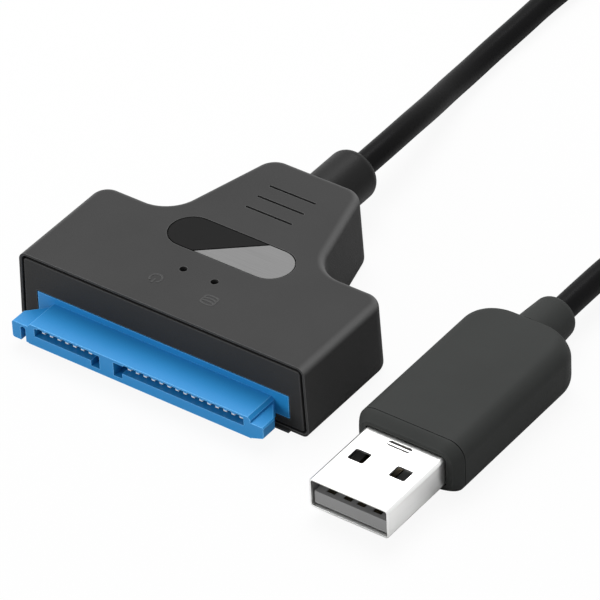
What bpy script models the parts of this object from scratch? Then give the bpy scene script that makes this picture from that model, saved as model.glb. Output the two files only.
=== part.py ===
"""Drive adapter: a flat T-shaped housing with a drive receptacle, a short round cable and a USB plug.

The pieces are laid out in millimetres from the middle of the housing's front face, at the floor:
X runs along the receptacle, Y back towards the cable and Z up. One parent empty then moves the
whole set back, so that the origin lies under the middle of the housing with its fittings.
"""

import math

import bmesh
import bpy
from mathutils import Vector

MM = 0.001

# Clearances
FIT_GAP = 0.3
SNUG_GAP = 0.15
SOLDER_GAP = 0.2

# How far joined bodies run into each other, and cutters run past a face
OVERLAP = 0.5
OVERCUT = 1.0

# Housing sleeve
BAR_WIDTH = 46.4
BAR_DEPTH = 18.45
NECK_WIDTH = 24.4
NECK_TAPER = 15.0
HOUSING_LENGTH = 35.4
HOUSING_HEIGHT = 11.0
SIDE_DRAFT = 0.4
BAR_CORNER = 2.9
NECK_CORNER = 3.4
INNER_CORNER = 4.5
TOP_ROUND = 1.2
BASE_ROUND = 1.1
LEAST_ROUND = 0.2
SIDE_WALL = 1.4
FLOOR = 1.0
ROOF = 1.3
MOUTH_LIP = 0.4
RIB_WIDTH = 1.2
RIB_INSET = 6.0
RIB_SETBACK = 1.0
ARC_STEPS = 7
EDGE_STEPS = 4

# Marks and openings in the roof
GRIP_LINES = 3
GRIP_LINE_WIDTH = 7.5
GRIP_LINE_THICKNESS = 0.35
GRIP_LINE_DEPTH = 0.4
GRIP_LINE_PITCH = 2.65
FIRST_GRIP_LINE = 23.9
INLAY_WIDTH = 19.0
INLAY_DEPTH = 6.3
INLAY_THICKNESS = 0.4
INLAY_MIDDLE = 15.6
INLAY_SPLIT_ANGLE = 39.4
LAMP_SPACING = 5.0
LAMP_HOLE_DIAMETER = 1.1

# Front bezel, and the low sill of the sleeve's floor in front of it
BEZEL_THICKNESS = 1.8
SILL_MARGIN = 0.2
SILL_REACH = 0.6
SILL_HEIGHT = 0.3
SILL_RISE = 0.05

# Drive receptacle
BLOCK_WIDTH = 35.8
BLOCK_HEIGHT = 3.3
BLOCK_REACH = 5.2
BLOCK_EDGE = 0.45
FLANGE_MARGIN = 3.05
FLANGE_HEIGHT = 3.55
FLANGE_RISE = 0.7
SHOULDER_STEP = 0.6
RECEPTACLE_DEPTH = 5.0
LEFT_EAR_WIDTH = 2.6
LEFT_EAR_HEIGHT = 2.65
RIGHT_EAR_WIDTH = 2.0
RIGHT_EAR_HEIGHT = 2.4
EAR_RISE = 0.1
EAR_ROOT = 2.0
EAR_HEEL = 0.05
EAR_STRAIGHT = 2.4
EAR_EDGE = 0.2
EAR_SLOPE_WIDTH = 1.9
EAR_SLOPE_RISE = 0.6
EAR_NOTCH_WIDTH = 0.8
EAR_NOTCH_INSET = 1.8
EAR_NOTCH_DEPTH = 2.3
EAR_NOTCH_ROOF = 0.35
SLOT_HEIGHT = 1.25
SLOT_RISE = 1.6
SLOT_DEPTH = 6.2
KEY_WIDTH = 1.4
KEY_DROP = 0.85
PIN_PITCH = 1.27
SLOT_END_MARGIN = 0.93
DATA_PINS = 7
POWER_PINS = 15
PIN_GROUP_STEP = 6.35
DATA_SLOT_WIDTH = 10.6
POWER_SLOT_WIDTH = 20.75

# Receptacle contacts
PIN_WIDTH = 0.5
PIN_THICKNESS = 0.3
PIN_BOW = 0.6
PIN_TIP_RISE = 0.1
PIN_TIP_LENGTH = 0.5
PIN_ROOT_LENGTH = 1.5
CHANNEL_SHARE = 0.9
COMB_HEIGHT = 0.2
PIN_SETBACK = 0.75
TAIL_LENGTH = 2.0

# Circuit board and what is on it
BOARD_MARGIN = 1.4
BOARD_BAR_DEPTH = 10.0
BOARD_TONGUE_WIDTH = 13.0
BOARD_LENGTH = 22.0
BOARD_THICKNESS = 1.0
LAMP_DIAMETER = 1.8
LAMP_HEIGHT = 3.0
LAMP_SETBACK = 1.58
LAMP_LEG = 0.5
LAMP_LEG_INSET = 0.1

# Strain relief
COLLAR_DIAMETER = 7.5
COLLAR_LENGTH = 8.2
COLLAR_ROUND = 1.5
COLLAR_STEPS = 5
RELIEF_LIP = 1.0
RELIEF_LIP_STEP = 0.55
RELIEF_SIDES = 32

# Cable
CABLE_DIAMETER = 3.5
CABLE_STEP = 8.0
CABLE_HOUSING_REACH = 4.5
CABLE_GRIP_REACH = 7.0
WIRE_DIAMETER = 0.8
WIRE_SPREAD = 0.6
WIRE_PITCH = 2.0
WIRE_FAN = 1.2
WIRE_LEAD = 1.8
WIRE_SOLDERED = 1.5

# Plug
PLUG_X = 38.2
PLUG_FRONT = -12.3
SHELL_WIDTH = 12.0
SHELL_HEIGHT = 4.5
SHELL_WALL = 0.3
SHELL_CORNER = 0.6
SHELL_EXPOSED = 12.3
SHELL_LENGTH = 18.8
WINDOW_WIDTH = 2.4
WINDOW_LENGTH = 2.2
WINDOW_SPACING = 6.3
WINDOW_SETBACK = 6.9
STAKE_WIDTH = 3.6
STAKE_LENGTH = 0.8
STAKE_SETBACK = 11.1
TONGUE_HEIGHT = 1.95
TONGUE_SETBACK = 0.4
TONGUE_LENGTH = 12.0
USB_PIN_WIDTH = 1.0
USB_PIN_THICKNESS = 0.2
USB_PIN_SETBACK = 0.8
USB_PIN_TAIL = 2.2
USB_PIN_PLACES = (-3.5, -1.0, 1.0, 3.5)
GRIP_WIDTH = 16.0
GRIP_THICKNESS = 8.0
GRIP_LENGTH = 28.0
GRIP_EDGE = 1.9
GRIP_FRONT_SLOPE = 1.5
GRIP_FRONT_LOSS = 0.9
GRIP_SHOULDER = 3.9
GRIP_SHOULDER_LOSS = 3.1
GRIP_REAR_THINNING = 0.6
GRIP_WALL = 1.7
BARREL_DIAMETER = 6.2
BARREL_BASE_DIAMETER = 7.0
BARREL_LENGTH = 6.8
BARREL_ROUND = 1.4

# Widths and heights that the pieces share
flange_width = BAR_WIDTH - 2 * FLANGE_MARGIN
board_width = BAR_WIDTH - 2 * (SIDE_WALL + SIDE_DRAFT + BOARD_MARGIN)
receptacle_base = FLOOR + FIT_GAP
flange_base = receptacle_base + FLANGE_RISE
flange_top = flange_base + FLANGE_HEIGHT
slot_base = receptacle_base + SLOT_RISE
slot_top = slot_base + SLOT_HEIGHT
pin_top = slot_top - SNUG_GAP
pin_base = pin_top - PIN_THICKNESS
board_top = pin_base - SOLDER_GAP
part_base = board_top + SOLDER_GAP
roof_base = HOUSING_HEIGHT - ROOF
exit_height = HOUSING_HEIGHT - TOP_ROUND - COLLAR_DIAMETER / 2
plug_height = GRIP_THICKNESS / 2

# Places along the housing that the pieces share
board_front = RECEPTACLE_DEPTH + FIT_GAP
tail_end = RECEPTACLE_DEPTH + TAIL_LENGTH
lamp_y = tail_end + LAMP_SETBACK
shoulder_front = BEZEL_THICKNESS + FIT_GAP
collar_front = HOUSING_LENGTH + SNUG_GAP
collar_end = collar_front + COLLAR_LENGTH
grip_end = SHELL_EXPOSED + GRIP_LENGTH
barrel_end = grip_end + BARREL_LENGTH
cable_bore = CABLE_DIAMETER / 2 + FIT_GAP
cable_inner_end = HOUSING_LENGTH - CABLE_HOUSING_REACH
cable_plug_end = PLUG_FRONT + grip_end - CABLE_GRIP_REACH

# The origin lies under the middle of the housing with its receptacle and collar
origin_y = (collar_end - BLOCK_REACH) / 2

for old in list(bpy.data.objects):
    bpy.data.objects.remove(old)

adapter = bpy.data.objects.new("adapter", None)
adapter.location.y = -origin_y * MM
bpy.context.scene.collection.objects.link(adapter)


# Making and joining solids


def finish(name, red, green, blue, roughness, metallic=0.0):
    material = bpy.data.materials.new(name)
    material.use_nodes = True
    shader = material.node_tree.nodes["Principled BSDF"]
    shader.inputs["Base Color"].default_value = (red, green, blue, 1.0)
    shader.inputs["Roughness"].default_value = roughness
    shader.inputs["Metallic"].default_value = metallic
    return material


def add(name, data, material=None):
    """Put new mesh or curve data in the scene, under the adapter's empty."""
    piece = bpy.data.objects.new(name, data)
    piece.parent = adapter
    if material:
        data.materials.append(material)
    bpy.context.scene.collection.objects.link(piece)
    return piece


def loft(name, rings, material=None, tube=False):
    """Skin over rings of points. A tube closes from its last ring to its first, and has no ends."""
    form = bmesh.new()
    rows = [[form.verts.new(Vector(point) * MM) for point in ring] for ring in rings]
    pairs = list(zip(rows, rows[1:]))
    if tube:
        pairs.append((rows[-1], rows[0]))
    else:
        form.faces.new(rows[0])
        form.faces.new(rows[-1])
    for low, high in pairs:
        for index in range(len(low)):
            after = (index + 1) % len(low)
            form.faces.new((low[index], low[after], high[after], high[index]))
    bmesh.ops.recalc_face_normals(form, faces=form.faces)
    mesh = bpy.data.meshes.new(name)
    form.to_mesh(mesh)
    form.free()
    mesh.shade_smooth()
    mesh.set_sharp_from_angle(angle=math.radians(35))
    return add(name, mesh, material)


def prism(name, outline, start, end, along, material=None):
    """An outline in the plane across one axis, extruded along that axis."""
    place = {
        "X": lambda u, v, w: (w, u, v),
        "Y": lambda u, v, w: (u, w, v),
        "Z": lambda u, v, w: (u, v, w),
    }[along]
    return loft(name, [[place(u, v, w) for u, v in outline] for w in (start, end)], material)


def box(name, low, high, material=None):
    corners = [(low[0], low[1]), (high[0], low[1]), (high[0], high[1]), (low[0], high[1])]
    return prism(name, corners, low[2], high[2], "Z", material)


def turned(name, profile, x, z, sides, material=None, tube=False):
    """A profile of (y, radius) pairs turned round a line along Y."""
    turns = [math.tau * step / sides for step in range(sides)]
    rings = [[(x + r * math.cos(t), y, z + r * math.sin(t)) for t in turns] for y, r in profile]
    return loft(name, rings, material, tube)


def gather(name, pieces):
    """One object that holds several shapes which lie apart."""
    form = bmesh.new()
    for piece in pieces:
        form.from_mesh(piece.data)
        bpy.data.objects.remove(piece)
    mesh = bpy.data.meshes.new(name)
    form.to_mesh(mesh)
    form.free()
    return add(name, mesh)


def combine(piece, other, operation):
    joint = piece.modifiers.new(other.name, "BOOLEAN")
    joint.operation = operation
    joint.solver = "EXACT"
    joint.object = other
    other.hide_render = True
    other.display_type = "WIRE"


def cut(piece, *cutters):
    for cutter in cutters:
        combine(piece, cutter, "DIFFERENCE")


def fuse(piece, *others):
    for other in others:
        combine(piece, other, "UNION")


def round_edges(piece, width):
    bevel = piece.modifiers.new("edges", "BEVEL")
    bevel.width = width * MM
    bevel.segments = 1
    bevel.limit_method = "ANGLE"


def arc(x, y, radius, first, last, steps=ARC_STEPS):
    turns = [math.radians(first + (last - first) * step / steps) for step in range(steps + 1)]
    return [(x + radius * math.cos(turn), y + radius * math.sin(turn)) for turn in turns]


def rounded_rectangle(half_width, half_height, radius, steps=ARC_STEPS):
    x, y = half_width - radius, half_height - radius
    corners = ((x, y, 0), (-x, y, 90), (-x, -y, 180), (x, -y, 270))
    return [point for cx, cy, turn in corners for point in arc(cx, cy, radius, turn, turn + 90, steps)]


def stadium(length, width, x, y):
    radius = width / 2
    reach = length / 2 - radius
    return arc(x + reach, y, radius, -90, 90, 12) + arc(x - reach, y, radius, 90, 270, 12)


def keep_side(outline, point, direction):
    """The part of an outline on the side of a line that direction points to."""

    def height(p):
        return (p[0] - point[0]) * direction[0] + (p[1] - point[1]) * direction[1]

    kept = []
    for here, after in zip(outline, outline[1:] + outline[:1]):
        if height(here) >= 0:
            kept.append(here)
        if (height(here) >= 0) != (height(after) >= 0):
            share = height(here) / (height(here) - height(after))
            kept.append(tuple(a + (b - a) * share for a, b in zip(here, after)))
    return kept


# Housing sleeve: one moulding in the shape of a T, open at its front


def housing_outline(inset, front=0.0):
    """The plan of the housing, moved inwards by inset, with its open end at front."""
    taper = math.radians(NECK_TAPER)
    radius = max(BAR_CORNER - inset, LEAST_ROUND)
    half = arc(BAR_WIDTH / 2 - inset - radius, BAR_DEPTH - inset - radius, radius, 0, 90)
    fillet_x = NECK_WIDTH / 2 + INNER_CORNER * (1 - math.sin(taper)) / math.cos(taper)
    half += arc(fillet_x, BAR_DEPTH + INNER_CORNER, INNER_CORNER + inset, 270, 180 + NECK_TAPER)
    radius = max(NECK_CORNER - inset, LEAST_ROUND)
    corner_y = HOUSING_LENGTH - inset - radius
    slope = (corner_y - BAR_DEPTH) * math.sin(taper)
    corner_x = NECK_WIDTH / 2 - (inset + radius + slope) / math.cos(taper)
    half += arc(corner_x, corner_y, radius, NECK_TAPER, 90)
    half.insert(0, (BAR_WIDTH / 2 - inset, front))
    return half + [(-x, y) for x, y in reversed(half)]


def side_levels(inset):
    """Height and sideways inset of the housing's side, from its base round to its roof."""
    low = max(BASE_ROUND - inset, LEAST_ROUND)
    high = max(TOP_ROUND - inset, LEAST_ROUND)
    turns = [math.pi / 2 * step / EDGE_STEPS for step in range(EDGE_STEPS + 1)]
    levels = [(inset + low * (1 - math.cos(t)), inset + low * (1 - math.sin(t))) for t in turns]
    top = HOUSING_HEIGHT - inset - high
    levels += [(top + high * math.sin(t), inset + high * (1 - math.cos(t))) for t in turns]
    return [(z, side + SIDE_DRAFT * z / HOUSING_HEIGHT) for z, side in levels]


def mouth_outline(inset):
    """The housing's front outline, as (x, z), moved inwards by inset."""
    right = [(BAR_WIDTH / 2 - side, z) for z, side in side_levels(inset)]
    return right + [(-x, z) for x, z in reversed(right)]


black_plastic = finish("black_plastic", 0.045, 0.045, 0.047, 0.55)

sleeve = loft(
    "body_sleeve",
    [[(x, y, z) for x, y in housing_outline(side)] for z, side in side_levels(0)],
    black_plastic,
)
cavity_levels = [(z, SIDE_WALL + SIDE_DRAFT * z / HOUSING_HEIGHT) for z in (FLOOR, roof_base)]
cavity = loft(
    "cavity_cutter",
    [[(x, y, z) for x, y in housing_outline(side, -OVERCUT)] for z, side in cavity_levels],
)
mouth = prism("mouth_cutter", mouth_outline(MOUTH_LIP), -2 * OVERCUT, shoulder_front, "Y")
cut(sleeve, cavity, mouth)

# Ribs on the sleeve's floor carry the board, and a low sill runs along its front edge
board_base = board_top - BOARD_THICKNESS
rib_top = board_base - SNUG_GAP
bar_rear = board_front + BOARD_BAR_DEPTH
board_end = board_front + BOARD_LENGTH
rib_runs = [
    (board_width / 2 - RIB_INSET, board_front + RIB_SETBACK, bar_rear - RIB_SETBACK),
    (BOARD_TONGUE_WIDTH / 2 - RIB_WIDTH, bar_rear, board_end - RIB_SETBACK),
]
ribs = []
for x, front, rear in rib_runs:
    for middle in (-x, x):
        low = (middle - RIB_WIDTH / 2, front, FLOOR / 2)
        ribs.append(box("rib", low, (middle + RIB_WIDTH / 2, rear, rib_top)))
sill_half = flange_width / 2 + SILL_MARGIN
sill_low = (-sill_half, -SILL_REACH, SILL_RISE)
sill = box("sill", sill_low, (sill_half, OVERLAP, SILL_RISE + SILL_HEIGHT))
fuse(sleeve, gather("ribs_and_sill", ribs + [sill]))

# The strain relief's neck passes the rear wall, and its lip is wider than the hole
lip_radius = roof_base - FIT_GAP - exit_height
relief_neck = lip_radius - RELIEF_LIP_STEP
hole_radius = relief_neck + SNUG_GAP
hole_front = HOUSING_LENGTH - SIDE_WALL - SIDE_DRAFT - OVERCUT
hole_profile = [(hole_front, hole_radius), (HOUSING_LENGTH + OVERCUT, hole_radius)]
rear_hole = turned("rear_hole_cutter", hole_profile, 0.0, exit_height, RELIEF_SIDES)
sleeve_cutters = [rear_hole]
for line in range(GRIP_LINES):
    y = FIRST_GRIP_LINE + line * GRIP_LINE_PITCH
    groove = box(
        "grip_line",
        (-GRIP_LINE_WIDTH / 2, y - GRIP_LINE_THICKNESS / 2, HOUSING_HEIGHT - GRIP_LINE_DEPTH),
        (GRIP_LINE_WIDTH / 2, y + GRIP_LINE_THICKNESS / 2, HOUSING_HEIGHT + OVERCUT),
    )
    sleeve_cutters.append(groove)
for side in (-1, 1):
    hole_outline = stadium(LAMP_HOLE_DIAMETER, LAMP_HOLE_DIAMETER, side * LAMP_SPACING / 2, lamp_y)
    hole_base = roof_base - OVERCUT
    sleeve_cutters.append(prism("lamp_hole", hole_outline, hole_base, HOUSING_HEIGHT + OVERCUT, "Z"))

# Inlay: two thin plates that lie flush in a shallow recess
recess_base = HOUSING_HEIGHT - INLAY_THICKNESS - SNUG_GAP
recess_outline = stadium(INLAY_WIDTH + 2 * SNUG_GAP, INLAY_DEPTH + 2 * SNUG_GAP, 0, INLAY_MIDDLE)
recess = prism("inlay_recess", recess_outline, recess_base, HOUSING_HEIGHT + OVERCUT, "Z")
sleeve_cutters.append(recess)
cut(sleeve, gather("sleeve_cutters", sleeve_cutters))

inlay_outline = stadium(INLAY_WIDTH, INLAY_DEPTH, 0, INLAY_MIDDLE)
split = math.radians(INLAY_SPLIT_ANGLE)
across = (math.sin(split), -math.cos(split))
plates = (
    ("inlay_dark", -1, finish("dark_inlay", 0.022, 0.022, 0.022, 0.5)),
    ("inlay_light", 1, finish("light_inlay", 0.28, 0.28, 0.28, 0.45)),
)
for name, side, material in plates:
    direction = (side * across[0], side * across[1])
    edge = (direction[0] * SNUG_GAP / 2, INLAY_MIDDLE + direction[1] * SNUG_GAP / 2)
    plate_outline = keep_side(inlay_outline, edge, direction)
    plate_base = recess_base + SNUG_GAP
    prism(name, plate_outline, plate_base, plate_base + INLAY_THICKNESS, "Z", material)

# Front bezel: a plate that closes the sleeve's mouth round the receptacle
bezel_inset = MOUTH_LIP + FIT_GAP
bezel = prism("front_bezel", mouth_outline(bezel_inset), 0.0, BEZEL_THICKNESS, "Y", black_plastic)
window_front = -OVERCUT
window_rear = BEZEL_THICKNESS + OVERCUT
flange_window = box(
    "flange_window_cutter",
    (-flange_width / 2 - SNUG_GAP, window_front, flange_base - SNUG_GAP),
    (flange_width / 2 + SNUG_GAP, window_rear, flange_top + SNUG_GAP),
)
block_window = box(
    "block_window_cutter",
    (-BLOCK_WIDTH / 2 - SNUG_GAP, window_front, receptacle_base - SNUG_GAP),
    (BLOCK_WIDTH / 2 + SNUG_GAP, window_rear, flange_base + SNUG_GAP),
)
cut(bezel, flange_window, block_window)

# Drive receptacle: the insulator is one moulding, with a nose block, two ears and a rear shoulder
blue_plastic = finish("blue_plastic", 0.02, 0.16, 0.48, 0.4)
insulator = box(
    "receptacle_insulator",
    (-flange_width / 2, 0.0, flange_base),
    (flange_width / 2, shoulder_front + OVERLAP, flange_top),
    blue_plastic,
)
block_top = receptacle_base + BLOCK_HEIGHT
block_outline = [
    (-BLOCK_WIDTH / 2, receptacle_base),
    (BLOCK_WIDTH / 2, receptacle_base),
    (BLOCK_WIDTH / 2, block_top - BLOCK_EDGE),
    (BLOCK_WIDTH / 2 - BLOCK_EDGE, block_top),
    (-BLOCK_WIDTH / 2 + BLOCK_EDGE, block_top),
    (-BLOCK_WIDTH / 2, block_top - BLOCK_EDGE),
]
block = prism("block", block_outline, -BLOCK_REACH, shoulder_front + OVERLAP / 2, "Y")
shoulder = box(
    "shoulder",
    (-flange_width / 2 - SHOULDER_STEP, shoulder_front, receptacle_base + EAR_RISE),
    (flange_width / 2 + SHOULDER_STEP, RECEPTACLE_DEPTH, flange_top + SHOULDER_STEP),
)
fuse(insulator, block, shoulder)

ear_base = receptacle_base + EAR_RISE
ear_root = BLOCK_WIDTH / 2 - EAR_ROOT


def ear_section(outer, height, slope_rise):
    """A guide ear seen from the front, as (x, z), from inside the block to its outer side."""
    return [
        (ear_root, ear_base),
        (outer - EAR_SLOPE_WIDTH, ear_base),
        (outer - EAR_EDGE, ear_base + slope_rise),
        (outer, ear_base + slope_rise + EAR_EDGE),
        (outer, ear_base + height - EAR_EDGE),
        (outer - EAR_EDGE, ear_base + height),
        (ear_root, ear_base + height),
    ]


def guide_ear(side, width, height, slope_rise):
    """An ear beside the block: straight at its front, then slanting back to the block."""
    ear_outer = BLOCK_WIDTH / 2 + width
    places = (
        (-BLOCK_REACH, ear_outer),
        (-BLOCK_REACH + EAR_STRAIGHT, ear_outer),
        (-SNUG_GAP, BLOCK_WIDTH / 2 + EAR_HEEL),
    )
    rings = [[(side * x, y, z) for x, z in ear_section(outer, height, slope_rise)] for y, outer in places]
    return loft("ear", rings)


ears = [
    guide_ear(-1, LEFT_EAR_WIDTH, LEFT_EAR_HEIGHT, 0.0),
    guide_ear(1, RIGHT_EAR_WIDTH, RIGHT_EAR_HEIGHT, EAR_SLOPE_RISE),
]
fuse(insulator, gather("ears", ears))

# A notch with a round top runs into the left ear from its front
notch_middle = -(BLOCK_WIDTH / 2 + LEFT_EAR_WIDTH - EAR_NOTCH_INSET)
notch_half = EAR_NOTCH_WIDTH / 2
notch_round = ear_base + LEFT_EAR_HEIGHT - EAR_NOTCH_ROOF - notch_half
notch_base = ear_base - OVERCUT
notch_outline = arc(notch_middle, notch_round, notch_half, 0, 180)
notch_outline += [(notch_middle - notch_half, notch_base), (notch_middle + notch_half, notch_base)]
front = -BLOCK_REACH - OVERCUT
front_cutters = [prism("notch", notch_outline, front, -BLOCK_REACH + EAR_NOTCH_DEPTH, "Y")]

# The pins are centred on the block, and each slot starts a margin outside its outermost pin
pin_span = (DATA_PINS - 1 + POWER_PINS - 1) * PIN_PITCH + PIN_GROUP_STEP
first_data_pin = -pin_span / 2
last_power_pin = -first_data_pin
first_power_pin = last_power_pin - (POWER_PINS - 1) * PIN_PITCH
data_slot_left = first_data_pin - SLOT_END_MARGIN
data_slot_right = data_slot_left + DATA_SLOT_WIDTH
power_slot_right = last_power_pin + SLOT_END_MARGIN
power_slot_left = power_slot_right - POWER_SLOT_WIDTH
slot_rear = SLOT_DEPTH - BLOCK_REACH
key_base = slot_base - KEY_DROP
data_outline = [
    (data_slot_left, slot_top),
    (data_slot_left, slot_base),
    (data_slot_right - KEY_WIDTH, slot_base),
    (data_slot_right - KEY_WIDTH, key_base),
    (data_slot_right, key_base),
    (data_slot_right, slot_top),
]
power_outline = [
    (power_slot_left, slot_top),
    (power_slot_left, key_base),
    (power_slot_left + KEY_WIDTH, key_base),
    (power_slot_left + KEY_WIDTH, slot_base),
    (power_slot_right, slot_base),
    (power_slot_right, slot_top),
]
for slot_outline in (data_outline, power_outline):
    front_cutters.append(prism("slot", slot_outline, front, slot_rear, "Y"))
cut(insulator, gather("front_cutters", front_cutters))

# Each contact has a groove in the slot's roof to spring into, and a channel through the rear wall
pins = [("data", n + 1, first_data_pin + n * PIN_PITCH) for n in range(DATA_PINS)]
pins += [("power", n + 1, first_power_pin + n * PIN_PITCH) for n in range(POWER_PINS)]
channel_half = PIN_WIDTH / 2 + SNUG_GAP
comb, channels = [], []
for _, _, x in pins:
    comb_low = (x - channel_half, front, slot_top - COMB_HEIGHT)
    comb_high = (x + channel_half, slot_rear - OVERCUT, slot_top + COMB_HEIGHT)
    comb.append(box("comb_groove", comb_low, comb_high))
    low = (x - channel_half, slot_rear - OVERLAP, pin_base - SNUG_GAP)
    high = (x + channel_half, RECEPTACLE_DEPTH + OVERCUT, pin_top + SNUG_GAP * CHANNEL_SHARE)
    channels.append(box("channel", low, high))
cut(insulator, gather("comb", comb), gather("channels", channels))

# Contacts: sprung strips under the slots' roof, soldered to the board behind
gold_plate = finish("gold_plate", 0.83, 0.69, 0.4, 0.3, 1.0)
pin_front = -BLOCK_REACH + PIN_SETBACK
pin_path = [
    (tail_end, pin_base),
    (slot_rear - PIN_ROOT_LENGTH, pin_base),
    (pin_front + PIN_TIP_LENGTH, pin_base - PIN_BOW),
    (pin_front, pin_base - PIN_BOW + PIN_TIP_RISE),
]
pin_outline = pin_path + [(y, z + PIN_THICKNESS) for y, z in reversed(pin_path)]
for group, number, x in pins:
    prism(f"{group}_contact_{number}", pin_outline, x - PIN_WIDTH / 2, x + PIN_WIDTH / 2, "X", gold_plate)

# Circuit board: a T that follows the housing
board_outline = [
    (-board_width / 2, board_front),
    (board_width / 2, board_front),
    (board_width / 2, bar_rear),
    (BOARD_TONGUE_WIDTH / 2, bar_rear),
    (BOARD_TONGUE_WIDTH / 2, board_end),
    (-BOARD_TONGUE_WIDTH / 2, board_end),
    (-BOARD_TONGUE_WIDTH / 2, bar_rear),
    (-board_width / 2, bar_rear),
]
board_green = finish("board_green", 0.02, 0.13, 0.06, 0.4)
prism("circuit_board", board_outline, board_base, board_top, "Z", board_green)

# Parts soldered to the board: name, left to right, back from the board's front edge, size and edge
chip_black = finish("chip_black", 0.02, 0.02, 0.02, 0.45)
can_steel = finish("can_steel", 0.62, 0.62, 0.6, 0.25, 1.0)
ferrite_grey = finish("ferrite_grey", 0.12, 0.12, 0.12, 0.6)
ceramic_tan = finish("ceramic_tan", 0.45, 0.3, 0.18, 0.5)
soldered = (
    ("bridge_chip", -9.5, 6.4, (7.0, 6.6, 0.9), 0.1, chip_black),
    ("crystal", -1.5, 7.6, (5.0, 3.2, 1.2), 0.3, can_steel),
    ("inductor", 8.5, 6.4, (4.0, 4.0, 1.8), 0.4, ferrite_grey),
    ("regulator", 14.0, 6.4, (2.9, 1.6, 1.1), 0.1, chip_black),
    ("capacitor_1", -15.6, 4.4, (2.0, 1.25, 1.0), 0.1, ceramic_tan),
    ("capacitor_2", -15.6, 7.4, (2.0, 1.25, 1.0), 0.1, ceramic_tan),
    ("capacitor_3", 4.2, 6.8, (2.0, 1.25, 1.0), 0.1, ceramic_tan),
)
for name, x, back, size, edge, material in soldered:
    y = board_front + back
    low = (x - size[0] / 2, y - size[1] / 2, part_base)
    piece = box(name, low, (x + size[0] / 2, y + size[1] / 2, part_base + size[2]), material)
    round_edges(piece, edge)

# Status lamps: stand on two legs, with their domes just under the holes in the roof
lamp_clear = finish("lamp_clear", 0.7, 0.72, 0.75, 0.2)
lamp_top = roof_base - FIT_GAP
for number, side in ((1, -1), (2, 1)):
    x = side * LAMP_SPACING / 2
    radius = LAMP_DIAMETER / 2
    dome = [math.radians(turn) for turn in (0, 30, 60, 80)]
    profile = [(lamp_top - LAMP_HEIGHT, radius)]
    profile += [(lamp_top - radius + radius * math.sin(t), radius * math.cos(t)) for t in dome]
    turns = [math.tau * step / 16 for step in range(16)]
    rings = [[(x + r * math.cos(t), lamp_y + r * math.sin(t), z) for t in turns] for z, r in profile]
    lamp = loft(f"status_lamp_{number}", rings, lamp_clear)
    for leg_side in (-1, 1):
        leg_x = x + leg_side * (radius - LAMP_LEG / 2 - LAMP_LEG_INSET)
        low = (leg_x - LAMP_LEG / 2, lamp_y - LAMP_LEG / 2, part_base)
        high = (leg_x + LAMP_LEG / 2, lamp_y + LAMP_LEG / 2, lamp_top - LAMP_HEIGHT + OVERLAP)
        fuse(lamp, box(f"lamp_leg_{number}_{leg_side}", low, high))

# Strain relief: a turned collar behind the wall, a neck through it and a lip inside
soft_black = finish("soft_black", 0.03, 0.03, 0.03, 0.5)
lip_rear = HOUSING_LENGTH - SIDE_WALL - SIDE_DRAFT - FIT_GAP
collar_radius = COLLAR_DIAMETER / 2
round_middle = collar_radius - COLLAR_ROUND
relief_profile = [
    (lip_rear - RELIEF_LIP, cable_bore),
    (lip_rear - RELIEF_LIP, lip_radius),
    (lip_rear, lip_radius),
    (lip_rear, relief_neck),
    (collar_front, relief_neck),
    (collar_front, collar_radius),
]
relief_profile += [
    (collar_end - COLLAR_ROUND * (1 - math.sin(turn)), round_middle + COLLAR_ROUND * math.cos(turn))
    for turn in (math.pi / 2 * step / COLLAR_STEPS for step in range(COLLAR_STEPS + 1))
]
relief_profile.append((collar_end, cable_bore))
turned("strain_relief", relief_profile, 0.0, exit_height, RELIEF_SIDES, soft_black, tube=True)


# Cable and its wires


def smooth_route(points, step):
    """Points a step apart along a smooth curve through the given ones."""
    knots = [Vector(point) for point in points]
    knots = [2 * knots[0] - knots[1]] + knots + [2 * knots[-1] - knots[-2]]
    fine = []
    for before, start, end, after in zip(knots, knots[1:], knots[2:], knots[3:]):
        for share in (part / 24 for part in range(24)):
            pull_in = (end - before) / 2
            pull_out = (after - start) / 2
            bend = 3 * (end - start) - 2 * pull_in - pull_out
            settle = 2 * (start - end) + pull_in + pull_out
            fine.append(start + share * (pull_in + share * (bend + share * settle)))
    fine.append(knots[-2])
    total = sum((b - a).length for a, b in zip(fine, fine[1:]))
    count = max(2, round(total / step))
    route, walked, target = [fine[0]], 0.0, total / count
    for here, after in zip(fine, fine[1:]):
        length = (after - here).length
        while walked + length >= target and len(route) < count:
            route.append(here + (after - here) * ((target - walked) / length))
            target += total / count
        walked += length
    return route + [fine[-1]]


def round_cord(name, points, diameter, step, material, fineness):
    data = bpy.data.curves.new(name, "CURVE")
    data.dimensions = "3D"
    data.bevel_depth = diameter / 2 * MM
    data.bevel_resolution = fineness
    data.use_fill_caps = True
    route = smooth_route(points, step)
    line = data.splines.new("POLY")
    line.points.add(len(route) - 1)
    for knot, place in zip(line.points, route):
        knot.co = (*(place * MM), 1.0)
    return add(name, data, material)


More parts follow.
